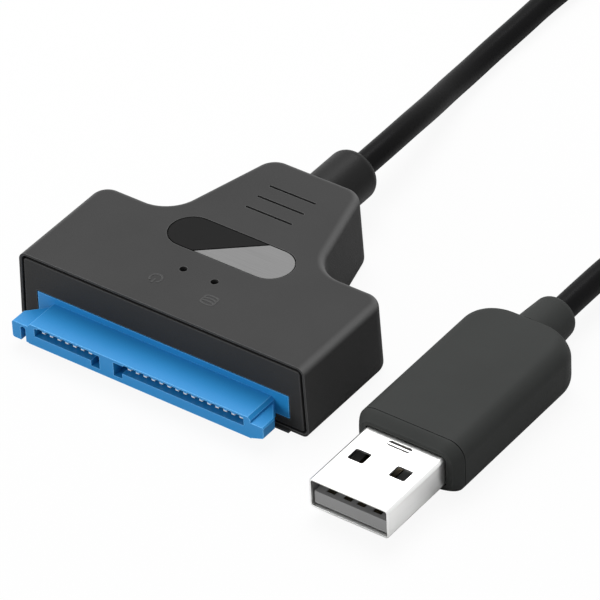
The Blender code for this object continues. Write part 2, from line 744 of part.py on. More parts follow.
# The cable leaves the collar level, sinks to the floor, turns round and comes back to the plug
floor_height = CABLE_DIAMETER / 2 + 0.05
cable_route = [
    (0.0, cable_inner_end, exit_height),
    (0.0, 38.0, exit_height),
    (0.0, 45.0, exit_height),
    (-0.1, 51.0, exit_height - 0.1),
    (-0.6, 57.0, 5.4),
    (-1.5, 63.0, 4.3),
    (-2.7, 69.0, 3.0),
    (-3.5, 75.0, 2.1),
    (-3.9, 81.0, floor_height),
    (-4.0, 88.0, floor_height),
    (-4.1, 96.0, floor_height),
    (-3.5, 104.5, floor_height),
    (-0.9, 113.0, floor_height),
    (4.3, 120.6, floor_height),
    (11.6, 125.4, floor_height),
    (20.0, 126.6, floor_height),
    (28.0, 124.0, floor_height),
    (34.0, 118.0, floor_height),
    (37.4, 110.0, floor_height),
    (38.4, 101.0, floor_height),
    (38.4, 91.0, floor_height),
    (38.3, 81.0, floor_height),
    (38.2, 71.0, floor_height),
    (38.2, 62.0, 2.1),
    (38.2, 54.0, 3.0),
    (38.2, 46.5, 3.8),
    (38.2, 40.0, plug_height),
    (PLUG_X, 34.0, plug_height),
    (PLUG_X, 28.0, plug_height),
    (PLUG_X, cable_plug_end, plug_height),
]
cable_black = finish("cable_black", 0.02, 0.02, 0.02, 0.35)
round_cord("cable", cable_route, CABLE_DIAMETER, CABLE_STEP, cable_black, 2)

wire_colours = (
    ("red", 0.5, 0.02, 0.02),
    ("white", 0.75, 0.75, 0.72),
    ("green", 0.02, 0.3, 0.06),
    ("black", 0.02, 0.02, 0.02),
)
tongue_base = plug_height - SHELL_HEIGHT / 2 + SHELL_WALL + SNUG_GAP
tongue_top = tongue_base + TONGUE_HEIGHT
wire_half = WIRE_DIAMETER / 2
for index, (colour, red, green, blue) in enumerate(wire_colours):
    insulation = finish(f"{colour}_insulation", red, green, blue, 0.4)
    left = (index - 1.5) * WIRE_PITCH
    across = WIRE_SPREAD if index > 1 else -WIRE_SPREAD
    level = WIRE_SPREAD if index in (1, 2) else -WIRE_SPREAD
    pad_height = part_base + wire_half
    house_route = [
        (left, board_end - 2 * WIRE_SOLDERED, pad_height),
        (left, board_end - WIRE_SOLDERED, pad_height),
        (left * 0.8, board_end, pad_height + WIRE_SPREAD),
        (across * WIRE_FAN, cable_inner_end - WIRE_LEAD, exit_height + level),
        (across, cable_inner_end - FIT_GAP, exit_height + level),
    ]
    round_cord(f"board_wire_{colour}", house_route, WIRE_DIAMETER, 1.2, insulation, 1)
    pin_place = USB_PIN_PLACES[index]
    wire_height = tongue_top + SOLDER_GAP + wire_half
    tail_y = PLUG_FRONT + SHELL_LENGTH + FIT_GAP
    plug_route = [
        (PLUG_X + pin_place, tail_y, wire_height),
        (PLUG_X + pin_place, tail_y + USB_PIN_TAIL, wire_height),
        (PLUG_X + pin_place * 0.6, tail_y + 2 * USB_PIN_TAIL, plug_height + level / 2),
        (PLUG_X + across * WIRE_FAN, cable_plug_end - WIRE_LEAD, plug_height + level),
        (PLUG_X + across, cable_plug_end - FIT_GAP, plug_height + level),
    ]
    round_cord(f"plug_wire_{colour}", plug_route, WIRE_DIAMETER, 1.8, insulation, 1)

# Plug shell: folded sheet steel, with two latch windows above and two below
steel = finish("plated_steel", 0.8, 0.8, 0.79, 0.22, 1.0)
outer = rounded_rectangle(SHELL_WIDTH / 2, SHELL_HEIGHT / 2, SHELL_CORNER, 3)
inner_half_width = SHELL_WIDTH / 2 - SHELL_WALL
inner_half_height = SHELL_HEIGHT / 2 - SHELL_WALL
inner = rounded_rectangle(inner_half_width, inner_half_height, SHELL_CORNER / 2, 3)
shell_ends = ((outer, 0.0), (outer, SHELL_LENGTH), (inner, SHELL_LENGTH), (inner, 0.0))
shell = loft(
    "usb_shell",
    [[(PLUG_X + x, PLUG_FRONT + y, plug_height + z) for x, z in outline] for outline, y in shell_ends],
    steel,
    tube=True,
)
shell_cutters = []
window_front = PLUG_FRONT + WINDOW_SETBACK - WINDOW_LENGTH / 2
for side in (-1, 1):
    middle = PLUG_X + side * WINDOW_SPACING / 2
    low = (middle - WINDOW_WIDTH / 2, window_front, plug_height - SHELL_HEIGHT)
    high = (middle + WINDOW_WIDTH / 2, window_front + WINDOW_LENGTH, plug_height + SHELL_HEIGHT)
    shell_cutters.append(box("window", low, high))
stake_front = PLUG_FRONT + STAKE_SETBACK - STAKE_LENGTH / 2
stake_base = plug_height + SHELL_HEIGHT / 2 - SHELL_WALL / 2
low = (PLUG_X - STAKE_WIDTH / 2, stake_front, stake_base)
high = (PLUG_X + STAKE_WIDTH / 2, stake_front + STAKE_LENGTH, stake_base + SHELL_HEIGHT)
shell_cutters.append(box("stake", low, high))
cut(shell, gather("shell_cutters", shell_cutters))

# Plug insert: a tongue on the shell's floor and a full-height block behind it
insert_grey = finish("insert_grey", 0.22, 0.22, 0.22, 0.5)
insert_half = inner_half_width - SNUG_GAP
insert_roof = plug_height + inner_half_height - SNUG_GAP
insert_profile = [
    (TONGUE_SETBACK, tongue_base),
    (SHELL_LENGTH, tongue_base),
    (SHELL_LENGTH, insert_roof),
    (TONGUE_LENGTH, insert_roof),
    (TONGUE_LENGTH, tongue_top),
    (TONGUE_SETBACK, tongue_top),
]
insert_outline = [(PLUG_FRONT + y, z) for y, z in insert_profile]
insert = prism("usb_insert", insert_outline, PLUG_X - insert_half, PLUG_X + insert_half, "X", insert_grey)
pin_half = USB_PIN_WIDTH / 2
strip_base = tongue_top - USB_PIN_THICKNESS / 2
strip_top = strip_base + USB_PIN_THICKNESS
strip_front = PLUG_FRONT + TONGUE_SETBACK + USB_PIN_SETBACK
strip_rear = PLUG_FRONT + SHELL_LENGTH + USB_PIN_TAIL
grooves = []
for number, place in enumerate(USB_PIN_PLACES, 1):
    left = PLUG_X + place - pin_half
    right = PLUG_X + place + pin_half
    low = (left - SNUG_GAP, strip_front - SNUG_GAP, strip_base - SNUG_GAP)
    high = (right + SNUG_GAP, strip_rear, strip_top + SNUG_GAP)
    grooves.append(box("pin_groove", low, high))
    box(f"usb_contact_{number}", (left, strip_front, strip_base), (right, strip_rear, strip_top), gold_plate)
cut(insert, gather("pin_grooves", grooves))

# Plug grip: one soft moulding with its own strain relief barrel
half_width = GRIP_WIDTH / 2
half_thickness = GRIP_THICKNESS / 2
grip_sections = []
for share in (0.0, 0.35, 1.0):
    lost = GRIP_FRONT_LOSS * (1 - share) ** 1.5
    y = SHELL_EXPOSED + GRIP_FRONT_SLOPE * share
    grip_sections.append((y, half_width - lost, half_thickness - lost))
for step in range(ARC_STEPS):
    turn = math.pi / 2 * step / (ARC_STEPS - 1)
    width = half_width - GRIP_SHOULDER_LOSS * (1 - math.cos(turn))
    thickness = half_thickness - GRIP_REAR_THINNING * (1 - math.cos(turn))
    y = grip_end - GRIP_SHOULDER * (1 - math.sin(turn))
    grip_sections.append((y, width, thickness))
grip_rings = []
for y, width, thickness in grip_sections:
    section = rounded_rectangle(width, thickness, GRIP_EDGE, 4)
    grip_rings.append([(PLUG_X + x, PLUG_FRONT + y, plug_height + z) for x, z in section])
grip = loft("usb_grip", grip_rings, soft_black)

barrel_radius = BARREL_DIAMETER / 2
barrel_end_y = PLUG_FRONT + barrel_end
barrel_profile = [(PLUG_FRONT + grip_end - GRIP_WALL, BARREL_BASE_DIAMETER / 2)]
for step in range(COLLAR_STEPS + 1):
    turn = math.pi / 2 * step / COLLAR_STEPS
    y = barrel_end_y - BARREL_ROUND * (1 - math.sin(turn))
    barrel_profile.append((y, barrel_radius - BARREL_ROUND * (1 - math.cos(turn))))
fuse(grip, turned("barrel", barrel_profile, PLUG_X, plug_height, RELIEF_SIDES))

pocket_half_width = SHELL_WIDTH / 2 + SNUG_GAP
pocket_half_height = SHELL_HEIGHT / 2 + SNUG_GAP
pocket_section = rounded_rectangle(pocket_half_width, pocket_half_height, SHELL_CORNER + SNUG_GAP, 3)
pocket_outline = [(PLUG_X + x, plug_height + z) for x, z in pocket_section]
pocket_front = PLUG_FRONT + SHELL_EXPOSED - OVERCUT
pocket = prism("pocket_cutter", pocket_outline, pocket_front, PLUG_FRONT + SHELL_LENGTH + FIT_GAP, "Y")
chamber_half = half_width - 2 * GRIP_WALL
chamber = box(
    "chamber_cutter",
    (PLUG_X - chamber_half, PLUG_FRONT + SHELL_LENGTH, plug_height - half_thickness + GRIP_WALL),
    (PLUG_X + chamber_half, cable_plug_end + OVERLAP, plug_height + half_thickness - GRIP_WALL),
)
bore_profile = [(cable_plug_end - OVERLAP, cable_bore), (barrel_end_y + OVERCUT, cable_bore)]
bore = turned("bore_cutter", bore_profile, PLUG_X, plug_height, RELIEF_SIDES)
cut(grip, pocket, chamber, bore)
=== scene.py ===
"""The looks of a drive adapter: T-shaped housing, drive receptacle, short cable and USB plug."""

import math

import bmesh
import bpy
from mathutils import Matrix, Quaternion, Vector


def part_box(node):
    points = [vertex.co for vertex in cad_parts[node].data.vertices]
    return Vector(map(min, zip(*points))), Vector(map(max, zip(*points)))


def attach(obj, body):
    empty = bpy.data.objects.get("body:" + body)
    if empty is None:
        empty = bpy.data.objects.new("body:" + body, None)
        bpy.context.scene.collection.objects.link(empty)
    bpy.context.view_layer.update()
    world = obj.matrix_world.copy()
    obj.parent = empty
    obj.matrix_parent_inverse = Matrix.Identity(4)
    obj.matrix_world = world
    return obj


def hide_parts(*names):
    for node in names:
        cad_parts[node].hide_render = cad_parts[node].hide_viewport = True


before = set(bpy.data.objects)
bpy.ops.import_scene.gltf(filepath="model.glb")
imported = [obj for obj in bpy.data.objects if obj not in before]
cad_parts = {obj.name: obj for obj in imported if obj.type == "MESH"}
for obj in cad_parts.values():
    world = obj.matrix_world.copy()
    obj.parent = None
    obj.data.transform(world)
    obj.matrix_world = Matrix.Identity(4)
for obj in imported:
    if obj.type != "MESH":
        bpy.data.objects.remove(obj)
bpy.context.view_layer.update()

# Camera
# It stands far off to the right of the receptacle and looks down on the adapter, so that long
# edges stay nearly parallel. Places on the adapter are in millimetres from the middle of the
# housing's front face, at the table: X along the receptacle, Y back to the cable and Z up.
mm = 0.001
front_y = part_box("front_bezel")[0].y
camera_azimuth, camera_elevation, camera_roll = 37.5, 37.7, -2.8
camera_distance = 700.0
camera_target = (14.25, 11.1, 11.35)
camera_lens = 328.9
camera_sensor = 36.0
camera_reach = 5.0


def spot(x, y, z):
    return Vector((x * mm, front_y + y * mm, z * mm))


turn, tilt = math.radians(camera_azimuth), math.radians(camera_elevation)
away = Vector((math.sin(turn) * math.cos(tilt), -math.cos(turn) * math.cos(tilt), math.sin(tilt)))
camera = bpy.data.objects.new("camera", bpy.data.cameras.new("camera"))
camera.data.lens = camera_lens
camera.data.sensor_width = camera_sensor
camera.data.clip_end = camera_reach
camera.location = spot(*camera_target) + away * camera_distance * mm
camera.rotation_mode = "QUATERNION"
roll = Quaternion((0.0, 0.0, 1.0), math.radians(camera_roll))
camera.rotation_quaternion = away.to_track_quat("Z", "Y") @ roll
bpy.context.scene.collection.objects.link(camera)
bpy.context.scene.camera = camera

# Cable
# A round four-core cable, 3.5 mm across, in an extruded black jacket with a satin skin. It runs
# from the housing through its collar, lies on the table in one wide bend and enters the plug. The
# points of its route are in metres.
cable_diameter = 3.5
cable_point_spacing = 1.2
cable_fineness = 10
jacket_black = (0.004, 0.004, 0.0042)
collar_low, collar_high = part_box("strain_relief")
grip_low, grip_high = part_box("usb_grip")
exit_height = (collar_low.z + collar_high.z) / 2
plug_height = (grip_low.z + grip_high.z) / 2
lying_height = 0.0018
cable_route = (
    (0.0, 0.0309, exit_height),
    (0.0, 0.038, exit_height),
    (0.0, 0.045, exit_height),
    (-0.0001, 0.051, exit_height - 0.0001),
    (-0.0006, 0.057, 0.0054),
    (-0.0015, 0.063, 0.0043),
    (-0.0027, 0.069, 0.003),
    (-0.0035, 0.075, 0.0021),
    (-0.0039, 0.081, lying_height),
    (-0.004, 0.088, lying_height),
    (-0.0041, 0.096, lying_height),
    (-0.0035, 0.1045, lying_height),
    (-0.0009, 0.113, lying_height),
    (0.0043, 0.1206, lying_height),
    (0.0116, 0.1254, lying_height),
    (0.02, 0.1266, lying_height),
    (0.028, 0.124, lying_height),
    (0.034, 0.118, lying_height),
    (0.0374, 0.11, lying_height),
    (0.0384, 0.101, lying_height),
    (0.0384, 0.091, lying_height),
    (0.0383, 0.081, lying_height),
    (0.0382, 0.071, lying_height),
    (0.0382, 0.062, 0.0021),
    (0.0382, 0.054, 0.003),
    (0.0382, 0.0465, 0.0038),
    (0.0382, 0.04, plug_height),
    (0.0382, 0.034, plug_height),
    (0.0382, 0.028, plug_height),
    (0.0382, 0.021, plug_height),
)


def smooth_line(points, spacing):
    """Points about a spacing apart, in metres, on a smooth curve through the given ones."""
    knots = [Vector(point) for point in points]
    knots = [2 * knots[0] - knots[1]] + knots + [2 * knots[-1] - knots[-2]]
    fine = []
    for before, start, end, after in zip(knots, knots[1:], knots[2:], knots[3:]):
        steps = max(1, round((end - start).length / spacing))
        leaving, arriving = (end - before) / 2, (after - start) / 2
        bend = 3 * (end - start) - 2 * leaving - arriving
        settle = 2 * (start - end) + leaving + arriving
        for share in (step / steps for step in range(steps)):
            fine.append(start + share * (leaving + share * (bend + share * settle)))
    return fine + [knots[-2]]


def round_strands(name, lines, diameter, fineness):
    """Strands of round section along lines of points in metres."""
    data = bpy.data.curves.new(name, "CURVE")
    data.dimensions = "3D"
    data.bevel_depth = diameter / 2
    data.bevel_resolution = fineness
    data.use_fill_caps = True
    for points in lines:
        line = data.splines.new("POLY")
        line.points.add(len(points) - 1)
        for knot, place in zip(line.points, points):
            knot.co = (*place, 1.0)
    strand = bpy.data.objects.new(name, data)
    bpy.context.scene.collection.objects.link(strand)
    return strand


def shader_group(name, inputs, outputs):
    """An empty shader group with named sockets, each with its kind."""
    group = bpy.data.node_groups.new(name, "ShaderNodeTree")
    for way, sockets in (("INPUT", inputs), ("OUTPUT", outputs)):
        for socket, kind in sockets.items():
            group.interface.new_socket(name=socket, in_out=way, socket_type=f"NodeSocket{kind}")
    return group


def feed(tree, socket, value):
    """Link an input to another node's output, or give it a plain value."""
    if isinstance(value, bpy.types.NodeSocket):
        tree.links.new(value, socket)
    else:
        socket.default_value = value


def shader_step(tree, kind, **inputs):
    """A node of a shader, with its named inputs fed."""
    node = tree.nodes.new(kind)
    for name, value in inputs.items():
        feed(tree, node.inputs[name], value)
    return node


def reckon(tree, operation, *values, clamp=False):
    """The outcome of a sum on outputs and plain numbers."""
    node = tree.nodes.new("ShaderNodeMath")
    node.operation = operation
    node.use_clamp = clamp
    for socket, value in zip(node.inputs, values):
        feed(tree, socket, value)
    return node.outputs[0]


def spread(tree, value, source, goal=(0.0, 1.0)):
    """Map a value from one range onto another, and hold it inside that range."""
    ends = dict(zip(("From Min", "From Max", "To Min", "To Max"), (*source, *goal)))
    return shader_step(tree, "ShaderNodeMapRange", Value=value, **ends).outputs["Result"]


def build_moulded_skin():
    """Spark-eroded grain, a slow drift in tone and gloss, and lighter edges that are partly wear
    from handling and partly a painted highlight.

    The rim input sets how far the rounded edge between a roof and its sides takes the edge tone:
    a painted highlight on normals tilted between up and sideways.
    """
    cloud_size, cloud_middle = 90.0, 0.5
    tone_over_gloss = 3.0
    flat_match, edge_match = 0.995, 0.88
    shut_in, standing_free = 0.7, 0.95
    steepest_gain = 27 / 4
    inputs = {"Tone": "Color", "Edge Wear And Highlight Tone": "Color", "Roughness": "Float", "Grain Size": "Float"}
    inputs |= {"Edge Width": "Float", "Rim Highlight": "Float", "Drift": "Float"}
    group = shader_group("moulded_skin", inputs, {"Color": "Color", "Roughness": "Float", "Relief": "Float"})
    given = group.nodes.new("NodeGroupInput").outputs
    result = group.nodes.new("NodeGroupOutput").inputs
    place = group.nodes.new("ShaderNodeTexCoord").outputs["Object"]
    grain = shader_step(group, "ShaderNodeTexNoise", Vector=place, Scale=given["Grain Size"], Detail=2.0)
    cloud = shader_step(group, "ShaderNodeTexNoise", Vector=place, Scale=cloud_size, Detail=4.0)
    swing = reckon(group, "SUBTRACT", cloud.outputs["Fac"], cloud_middle)
    amount = reckon(group, "MULTIPLY", swing, given["Drift"])
    lift = reckon(group, "MULTIPLY_ADD", amount, tone_over_gloss, 1.0)
    tone = shader_step(group, "ShaderNodeHueSaturation", Value=lift, Color=given["Tone"])

    # An edge is where the bevelled normal turns away from the plain one, except in inner corners.
    surface = group.nodes.new("ShaderNodeNewGeometry").outputs["Normal"]
    rounded = shader_step(group, "ShaderNodeBevel", Radius=given["Edge Width"])
    rounded.samples = 4
    agree = group.nodes.new("ShaderNodeVectorMath")
    agree.operation = "DOT_PRODUCT"
    feed(group, agree.inputs[0], rounded.outputs["Normal"])
    feed(group, agree.inputs[1], surface)
    openness = shader_step(group, "ShaderNodeAmbientOcclusion", Distance=given["Edge Width"])
    openness.samples = 4
    openness.only_local = True
    edge = spread(group, agree.outputs["Value"], (flat_match, edge_match))
    convex = spread(group, openness.outputs["AO"], (shut_in, standing_free))
    # Convex edges take the lighter edge tone: partly wear, partly a painted highlight.
    worn_and_highlit_edge = reckon(group, "MULTIPLY", edge, convex)

    # The rim mask paints a highlight on rounded edges. It is z * z * (1 - z) of the normal's height z,
    # and its gain brings its peak to 1.
    height = shader_step(group, "ShaderNodeSeparateXYZ", Vector=surface).outputs["Z"]
    upward = reckon(group, "MULTIPLY", height, reckon(group, "SUBTRACT", 1.0, height), clamp=True)
    steepest = reckon(group, "MULTIPLY", reckon(group, "MULTIPLY", upward, height), steepest_gain)
    rim = reckon(group, "MULTIPLY", steepest, given["Rim Highlight"])

    blend = group.nodes.new("ShaderNodeMix")
    blend.data_type = "RGBA"
    feed(group, blend.inputs["Factor"], reckon(group, "MAXIMUM", worn_and_highlit_edge, rim))
    feed(group, blend.inputs["A"], tone.outputs["Color"])
    feed(group, blend.inputs["B"], given["Edge Wear And Highlight Tone"])
    feed(group, result["Color"], blend.outputs["Result"])
    feed(group, result["Roughness"], reckon(group, "ADD", given["Roughness"], amount, clamp=True))
    feed(group, result["Relief"], grain.outputs["Fac"])
    return group


moulded_skin = build_moulded_skin()


def covered(name, skin, values, relief_depth, gloss=0.5, metal=0.0):
    """A material whose tone, roughness and relief come from a shader group with its own values."""
    material = bpy.data.materials.new(name)
    material.use_nodes = True
    tree = material.node_tree
    cover = tree.nodes.new("ShaderNodeGroup")
    cover.node_tree = skin
    for socket, value in values.items():
        cover.inputs[socket].default_value = value
    relief = shader_step(tree, "ShaderNodeBump", Distance=relief_depth * mm, Height=cover.outputs["Relief"])
    finish = {
        "Base Color": cover.outputs["Color"],
        "Roughness": cover.outputs["Roughness"],
        "Normal": relief.outputs["Normal"],
        "Specular IOR Level": gloss,
        "Metallic": metal,
    }
    for socket, value in finish.items():
        feed(tree, tree.nodes["Principled BSDF"].inputs[socket], value)
    return material


def moulded(
    name, tone, edge_wear_and_highlight_tone, roughness, gloss, grain_size, grain_depth, edge_width=0.25, drift=0.1, rim=0.0
):
    """A moulded plastic or rubber. grain_depth and edge_width are in millimetres.
    The edge tone is partly wear and partly a painted highlight, and rim sets a painted highlight on
    rounded roof edges.
    """
    values = {
        "Tone": (*tone, 1.0),
        "Edge Wear And Highlight Tone": (*edge_wear_and_highlight_tone, 1.0),
        "Roughness": roughness,
        "Grain Size": grain_size,
        "Edge Width": edge_width * mm,
        "Rim Highlight": rim,
        "Drift": drift,
    }
    return covered(name, moulded_skin, values, grain_depth, gloss)


cable_line = smooth_line(cable_route, cable_point_spacing * mm)
cable_line = [Vector((x, front_y + y, z)) for x, y, z in cable_line]
cable = round_strands("usb_cable", [cable_line], cable_diameter * mm, cable_fineness)
cable_material = moulded(
    "cable_jacket", jacket_black, jacket_black,
    roughness=0.36, gloss=0.045, grain_size=2500.0, grain_depth=0.02, drift=0.05,
)
cable.data.materials.append(cable_material)
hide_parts("cable")
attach(cable, "root")

# Housing sleeve
# One injection moulding in black plastic with a fine matt texture, shaped as a T and open at its
# front. Three short grooves, two small lamp holes and a shallow recess are in its roof, and a low
# sill stands out under its mouth.
housing_low, housing_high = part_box("body_sleeve")
bar_width = 46.4
bar_depth = 18.45
housing_length = (housing_high.y - front_y) / mm
housing_height = (housing_high.z - housing_low.z) / mm
neck_width = 24.4
neck_taper = math.radians(15.0)
side_draft = 0.4
bar_corner, neck_corner, inner_corner = 2.9, 3.4, 4.5
top_round, base_round, rim_round = 1.2, 1.1, 0.16
side_wall, floor_thickness, roof_thickness = 1.4, 1.0, 1.3
mouth_lip = 0.4
mouth_depth = 2.1
flange_width = 40.3
sill_margin, sill_reach, sill_height, sill_rise = 0.2, 0.6, 0.3, 0.05
corner_steps, edge_steps, hole_sides = 24, 9, 48
groove_length, groove_width, groove_depth = 7.5, 0.36, 0.3
groove_places = (23.9, 26.55, 29.2)
lamp_spacing, lamp_y, lamp_hole_radius = 5.0, 8.58, 0.55
inlay_length, inlay_width, inlay_thickness, inlay_y = 19.0, 6.3, 0.4, 15.6
fit, snug = 0.3, 0.15
overcut = 1.0
lead_in = 0.07
housing_grey = (0.040, 0.040, 0.040)
# Lighter edge grey: partly edge wear, partly a painted highlight, and the tone of the painted rim highlight.
housing_edge_wear_and_highlight_grey = (0.12, 0.12, 0.12)
quarter = math.pi / 2
roof_base = housing_height - roof_thickness
recess_base = housing_height - inlay_thickness - snug


def arc(x, y, radius, first, last, steps):
    """Points of an arc about (x, y), from one angle to another in radians."""
    turns = [first + (last - first) * step / steps for step in range(steps + 1)]
    return [(x + radius * math.cos(turn), y + radius * math.sin(turn)) for turn in turns]


def stadium(length, width, x, y):
    radius, reach = width / 2, (length - width) / 2
    right = arc(x + reach, y, radius, -quarter, quarter, corner_steps)
    return right + arc(x - reach, y, radius, quarter, 3 * quarter, corner_steps)


def skinned(name, rings, material=None, hoop=False):
    """A closed skin over rings of points in millimetres. A hoop has no ends."""
    form = bmesh.new()
    rows = [[form.verts.new(spot(*point)) for point in ring] for ring in rings]
    pairs = list(zip(rows, rows[1:]))
    if hoop:
        pairs.append((rows[-1], rows[0]))
    else:
        form.faces.new(rows[0])
        form.faces.new(rows[-1])
    for low, high in pairs:
        for here in range(len(low)):
            after = (here + 1) % len(low)
            form.faces.new((low[here], low[after], high[after], high[here]))
    bmesh.ops.recalc_face_normals(form, faces=form.faces)
    mesh = bpy.data.meshes.new(name)
    form.to_mesh(mesh)
    form.free()
    piece = bpy.data.objects.new(name, mesh)
    if material:
        mesh.materials.append(material)
    bpy.context.scene.collection.objects.link(piece)
    return piece


def level_rings(levels):
    """Rings that lie level, from pairs of an outline in the plan and its height."""
    return [[(x, y, z) for x, y in outline] for outline, z in levels]


def block(name, low, high, material=None):
    corners = [(low[0], low[1]), (high[0], low[1]), (high[0], high[1]), (low[0], high[1])]
    return skinned(name, level_rings([(corners, low[2]), (corners, high[2])]), material)


def settle(piece):
    """Make a piece's modifiers part of its mesh."""
    graph = bpy.context.evaluated_depsgraph_get()
    made = bpy.data.meshes.new_from_object(piece.evaluated_get(graph))
    plain = piece.data
    piece.modifiers.clear()
    piece.data = made
    bpy.data.meshes.remove(plain)


def carve(piece, *others, operation="DIFFERENCE"):
    """Take other shapes out of a piece one by one, or join them on, and drop them."""
    for other in others:
        step = piece.modifiers.new("step", "BOOLEAN")
        step.operation = operation
        step.solver = "EXACT"
        step.object = other
        settle(piece)
        bpy.data.objects.remove(other)


def soften(piece, width, segments=2, sharpest=30.0):
    """Round a piece's edges by a width in millimetres."""
    bevel = piece.modifiers.new("edges", "BEVEL")
    bevel.width = width * mm
    bevel.segments = segments
    bevel.limit_method = "ANGLE"
    bevel.angle_limit = math.radians(sharpest)
    settle(piece)


def shade(piece, sharpest=32.0):
    """Smooth shading that keeps flat faces flat."""
    piece.data.shade_smooth()
    piece.data.set_sharp_from_angle(angle=math.radians(sharpest))
    even = piece.modifiers.new("shading", "WEIGHTED_NORMAL")
    even.keep_sharp = True


def housing_plan(inset, front=0.0):
    """The housing's outline seen from above, moved inwards, with its open end at front."""
    radius = max(bar_corner - inset, fit)
    right = [(bar_width / 2 - inset, front)]
    right += arc(bar_width / 2 - inset - radius, bar_depth - inset - radius, radius, 0, quarter, corner_steps)
    fillet_x = neck_width / 2 + inner_corner * (1 - math.sin(neck_taper)) / math.cos(neck_taper)
    fillet_y = bar_depth + inner_corner
    fillet_end = 2 * quarter + neck_taper
    right += arc(fillet_x, fillet_y, inner_corner + inset, 3 * quarter, fillet_end, corner_steps)
    radius = max(neck_corner - inset, fit)
    corner_y = housing_length - inset - radius
    leaning = (corner_y - bar_depth) * math.sin(neck_taper)
    corner_x = neck_width / 2 - (inset + radius + leaning) / math.cos(neck_taper)
    right += arc(corner_x, corner_y, radius, neck_taper, quarter, corner_steps)
    return right + [(-x, y) for x, y in reversed(right)]


def side_levels(inset):
    """Height and sideways inset of the housing's side, from its base to its roof."""
    low, high = max(base_round - inset, fit), max(top_round - inset, fit)
    turns = [quarter * step / edge_steps for step in range(edge_steps + 1)]
    levels = [(inset + low * (1 - math.cos(t)), inset + low * (1 - math.sin(t))) for t in turns]
    top = housing_height - inset - high
    levels += [(top + high * math.sin(t), inset + high * (1 - math.cos(t))) for t in turns]
    return [(z, side + side_draft * z / housing_height) for z, side in levels]


def mouth_outline(inset):
    """The housing's front outline in X and Z, moved inwards."""
    right = [(bar_width / 2 - side, z) for z, side in side_levels(inset)]
    return right + [(-x, z) for x, z in reversed(right)]


def upright_rings(levels):
    """Rings that stand across Y, from pairs of an outline in X and Z and its place along Y."""
    return [[(x, y, z) for x, z in outline] for outline, y in levels]


def turned_rings(profile, x, z, sides):
    """Rings of a shape turned about a line along Y, from pairs of Y and radius."""
    turns = [math.tau * step / sides for step in range(sides)]
    return [[(x + r * math.cos(t), y, z + r * math.sin(t)) for t in turns] for y, r in profile]


def sunk(name, length, width, x, y, base):
    """A cutter for a hollow in the roof, with round ends and straight walls."""
    wall = stadium(length, width, x, y)
    return skinned(name, level_rings([(wall, base), (wall, housing_height + overcut)]))


# rim paints a highlight along the rounded edges between the roof and the sides.
housing_black = moulded(
    "housing_black", housing_grey, housing_edge_wear_and_highlight_grey,
    roughness=0.6, gloss=0.05, grain_size=5200.0, grain_depth=0.03, edge_width=0.12, rim=0.8,
)
sleeve_rings = level_rings([(housing_plan(side), z) for z, side in side_levels(0)])
sleeve = skinned("housing_sleeve", sleeve_rings, housing_black)
soften(sleeve, rim_round, segments=3, sharpest=60.0)
cavity_levels = [(z, side_wall + side_draft * z / housing_height) for z in (floor_thickness, roof_base)]
cavity = skinned("cavity", level_rings([(housing_plan(side, -overcut), z) for z, side in cavity_levels]))
mouth_levels = [
    (mouth_outline(mouth_lip - lead_in), -overcut),
    (mouth_outline(mouth_lip - lead_in), 0.0),
    (mouth_outline(mouth_lip), lead_in),
    (mouth_outline(mouth_lip), mouth_depth),
]
carve(sleeve, cavity, skinned("mouth", upright_rings(mouth_levels)))
sill_half = flange_width / 2 + sill_margin
sill_high = (sill_half, fit, sill_rise + sill_height)
sill = block("sill", (-sill_half, -sill_reach, sill_rise), sill_high, housing_black)
soften(sill, lead_in)
carve(sleeve, sill, operation="UNION")
neck_hole_radius = 2.95
hole_places = (housing_length - side_wall - 2 * overcut, housing_length + overcut)
hole_profile = [(y, neck_hole_radius) for y in hole_places]
carve(sleeve, skinned("rear_hole", turned_rings(hole_profile, 0, exit_height / mm, hole_sides)))
for y in groove_places:
    carve(sleeve, sunk("groove", groove_length, groove_width, 0, y, housing_height - groove_depth))
lamp_hole = (2 * lamp_hole_radius, 2 * lamp_hole_radius)
for x in (-lamp_spacing / 2, lamp_spacing / 2):
    carve(sleeve, sunk("lamp_hole", *lamp_hole, x, lamp_y, roof_base - overcut))
recess = (inlay_length + 2 * snug, inlay_width + 2 * snug)
carve(sleeve, sunk("recess", *recess, 0, inlay_y, recess_base))
shade(sleeve)
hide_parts("body_sleeve")
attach(sleeve, "root")

# Raised marks by the lamps
# Two plain signs moulded with the roof, in the same plastic and no taller than a fingernail's
# ridge: a broken ring with a bar for power, and stacked discs for the drive.
mark_thickness, mark_sink = 0.28, 0.035
mark_x, mark_y = 4.3, 5.1
ring_radius = 0.85
bar_near, bar_far = 0.15, 1.25
ring_steps, disc_steps, mark_fineness = 32, 24, 3
ring_opening = math.radians(38.0)
disc_width, disc_depth, disc_spacing = 2.0, 0.7, 0.55


def mark_point(x, y):
    return spot(x, y, housing_height - mark_sink)


ring_start = 1.5 * math.pi + ring_opening
ring_end = 3.5 * math.pi - ring_opening
power_lines = [
    [mark_point(x, y) for x, y in arc(-mark_x, mark_y, ring_radius, ring_start, ring_end, ring_steps)],
    [mark_point(-mark_x, mark_y - ring_radius * share) for share in (bar_near, bar_far)],
]
power_mark = round_strands("power_mark", power_lines, mark_thickness * mm, mark_fineness)
drive_lines = []
for level in (-1, 0, 1):
    middle = mark_y - level * disc_spacing
    first = 0.0 if level < 1 else -math.pi
    turns = [first + (math.pi - first) * step / disc_steps for step in range(disc_steps + 1)]
    rim = [(mark_x + disc_width / 2 * math.cos(t), middle + disc_depth / 2 * math.sin(t)) for t in turns]
    drive_lines.append([mark_point(x, y) for x, y in rim])
for side in (-1, 1):
    ends = (mark_y - disc_spacing, mark_y + disc_spacing)
    drive_lines.append([mark_point(mark_x + side * disc_width / 2, y) for y in ends])
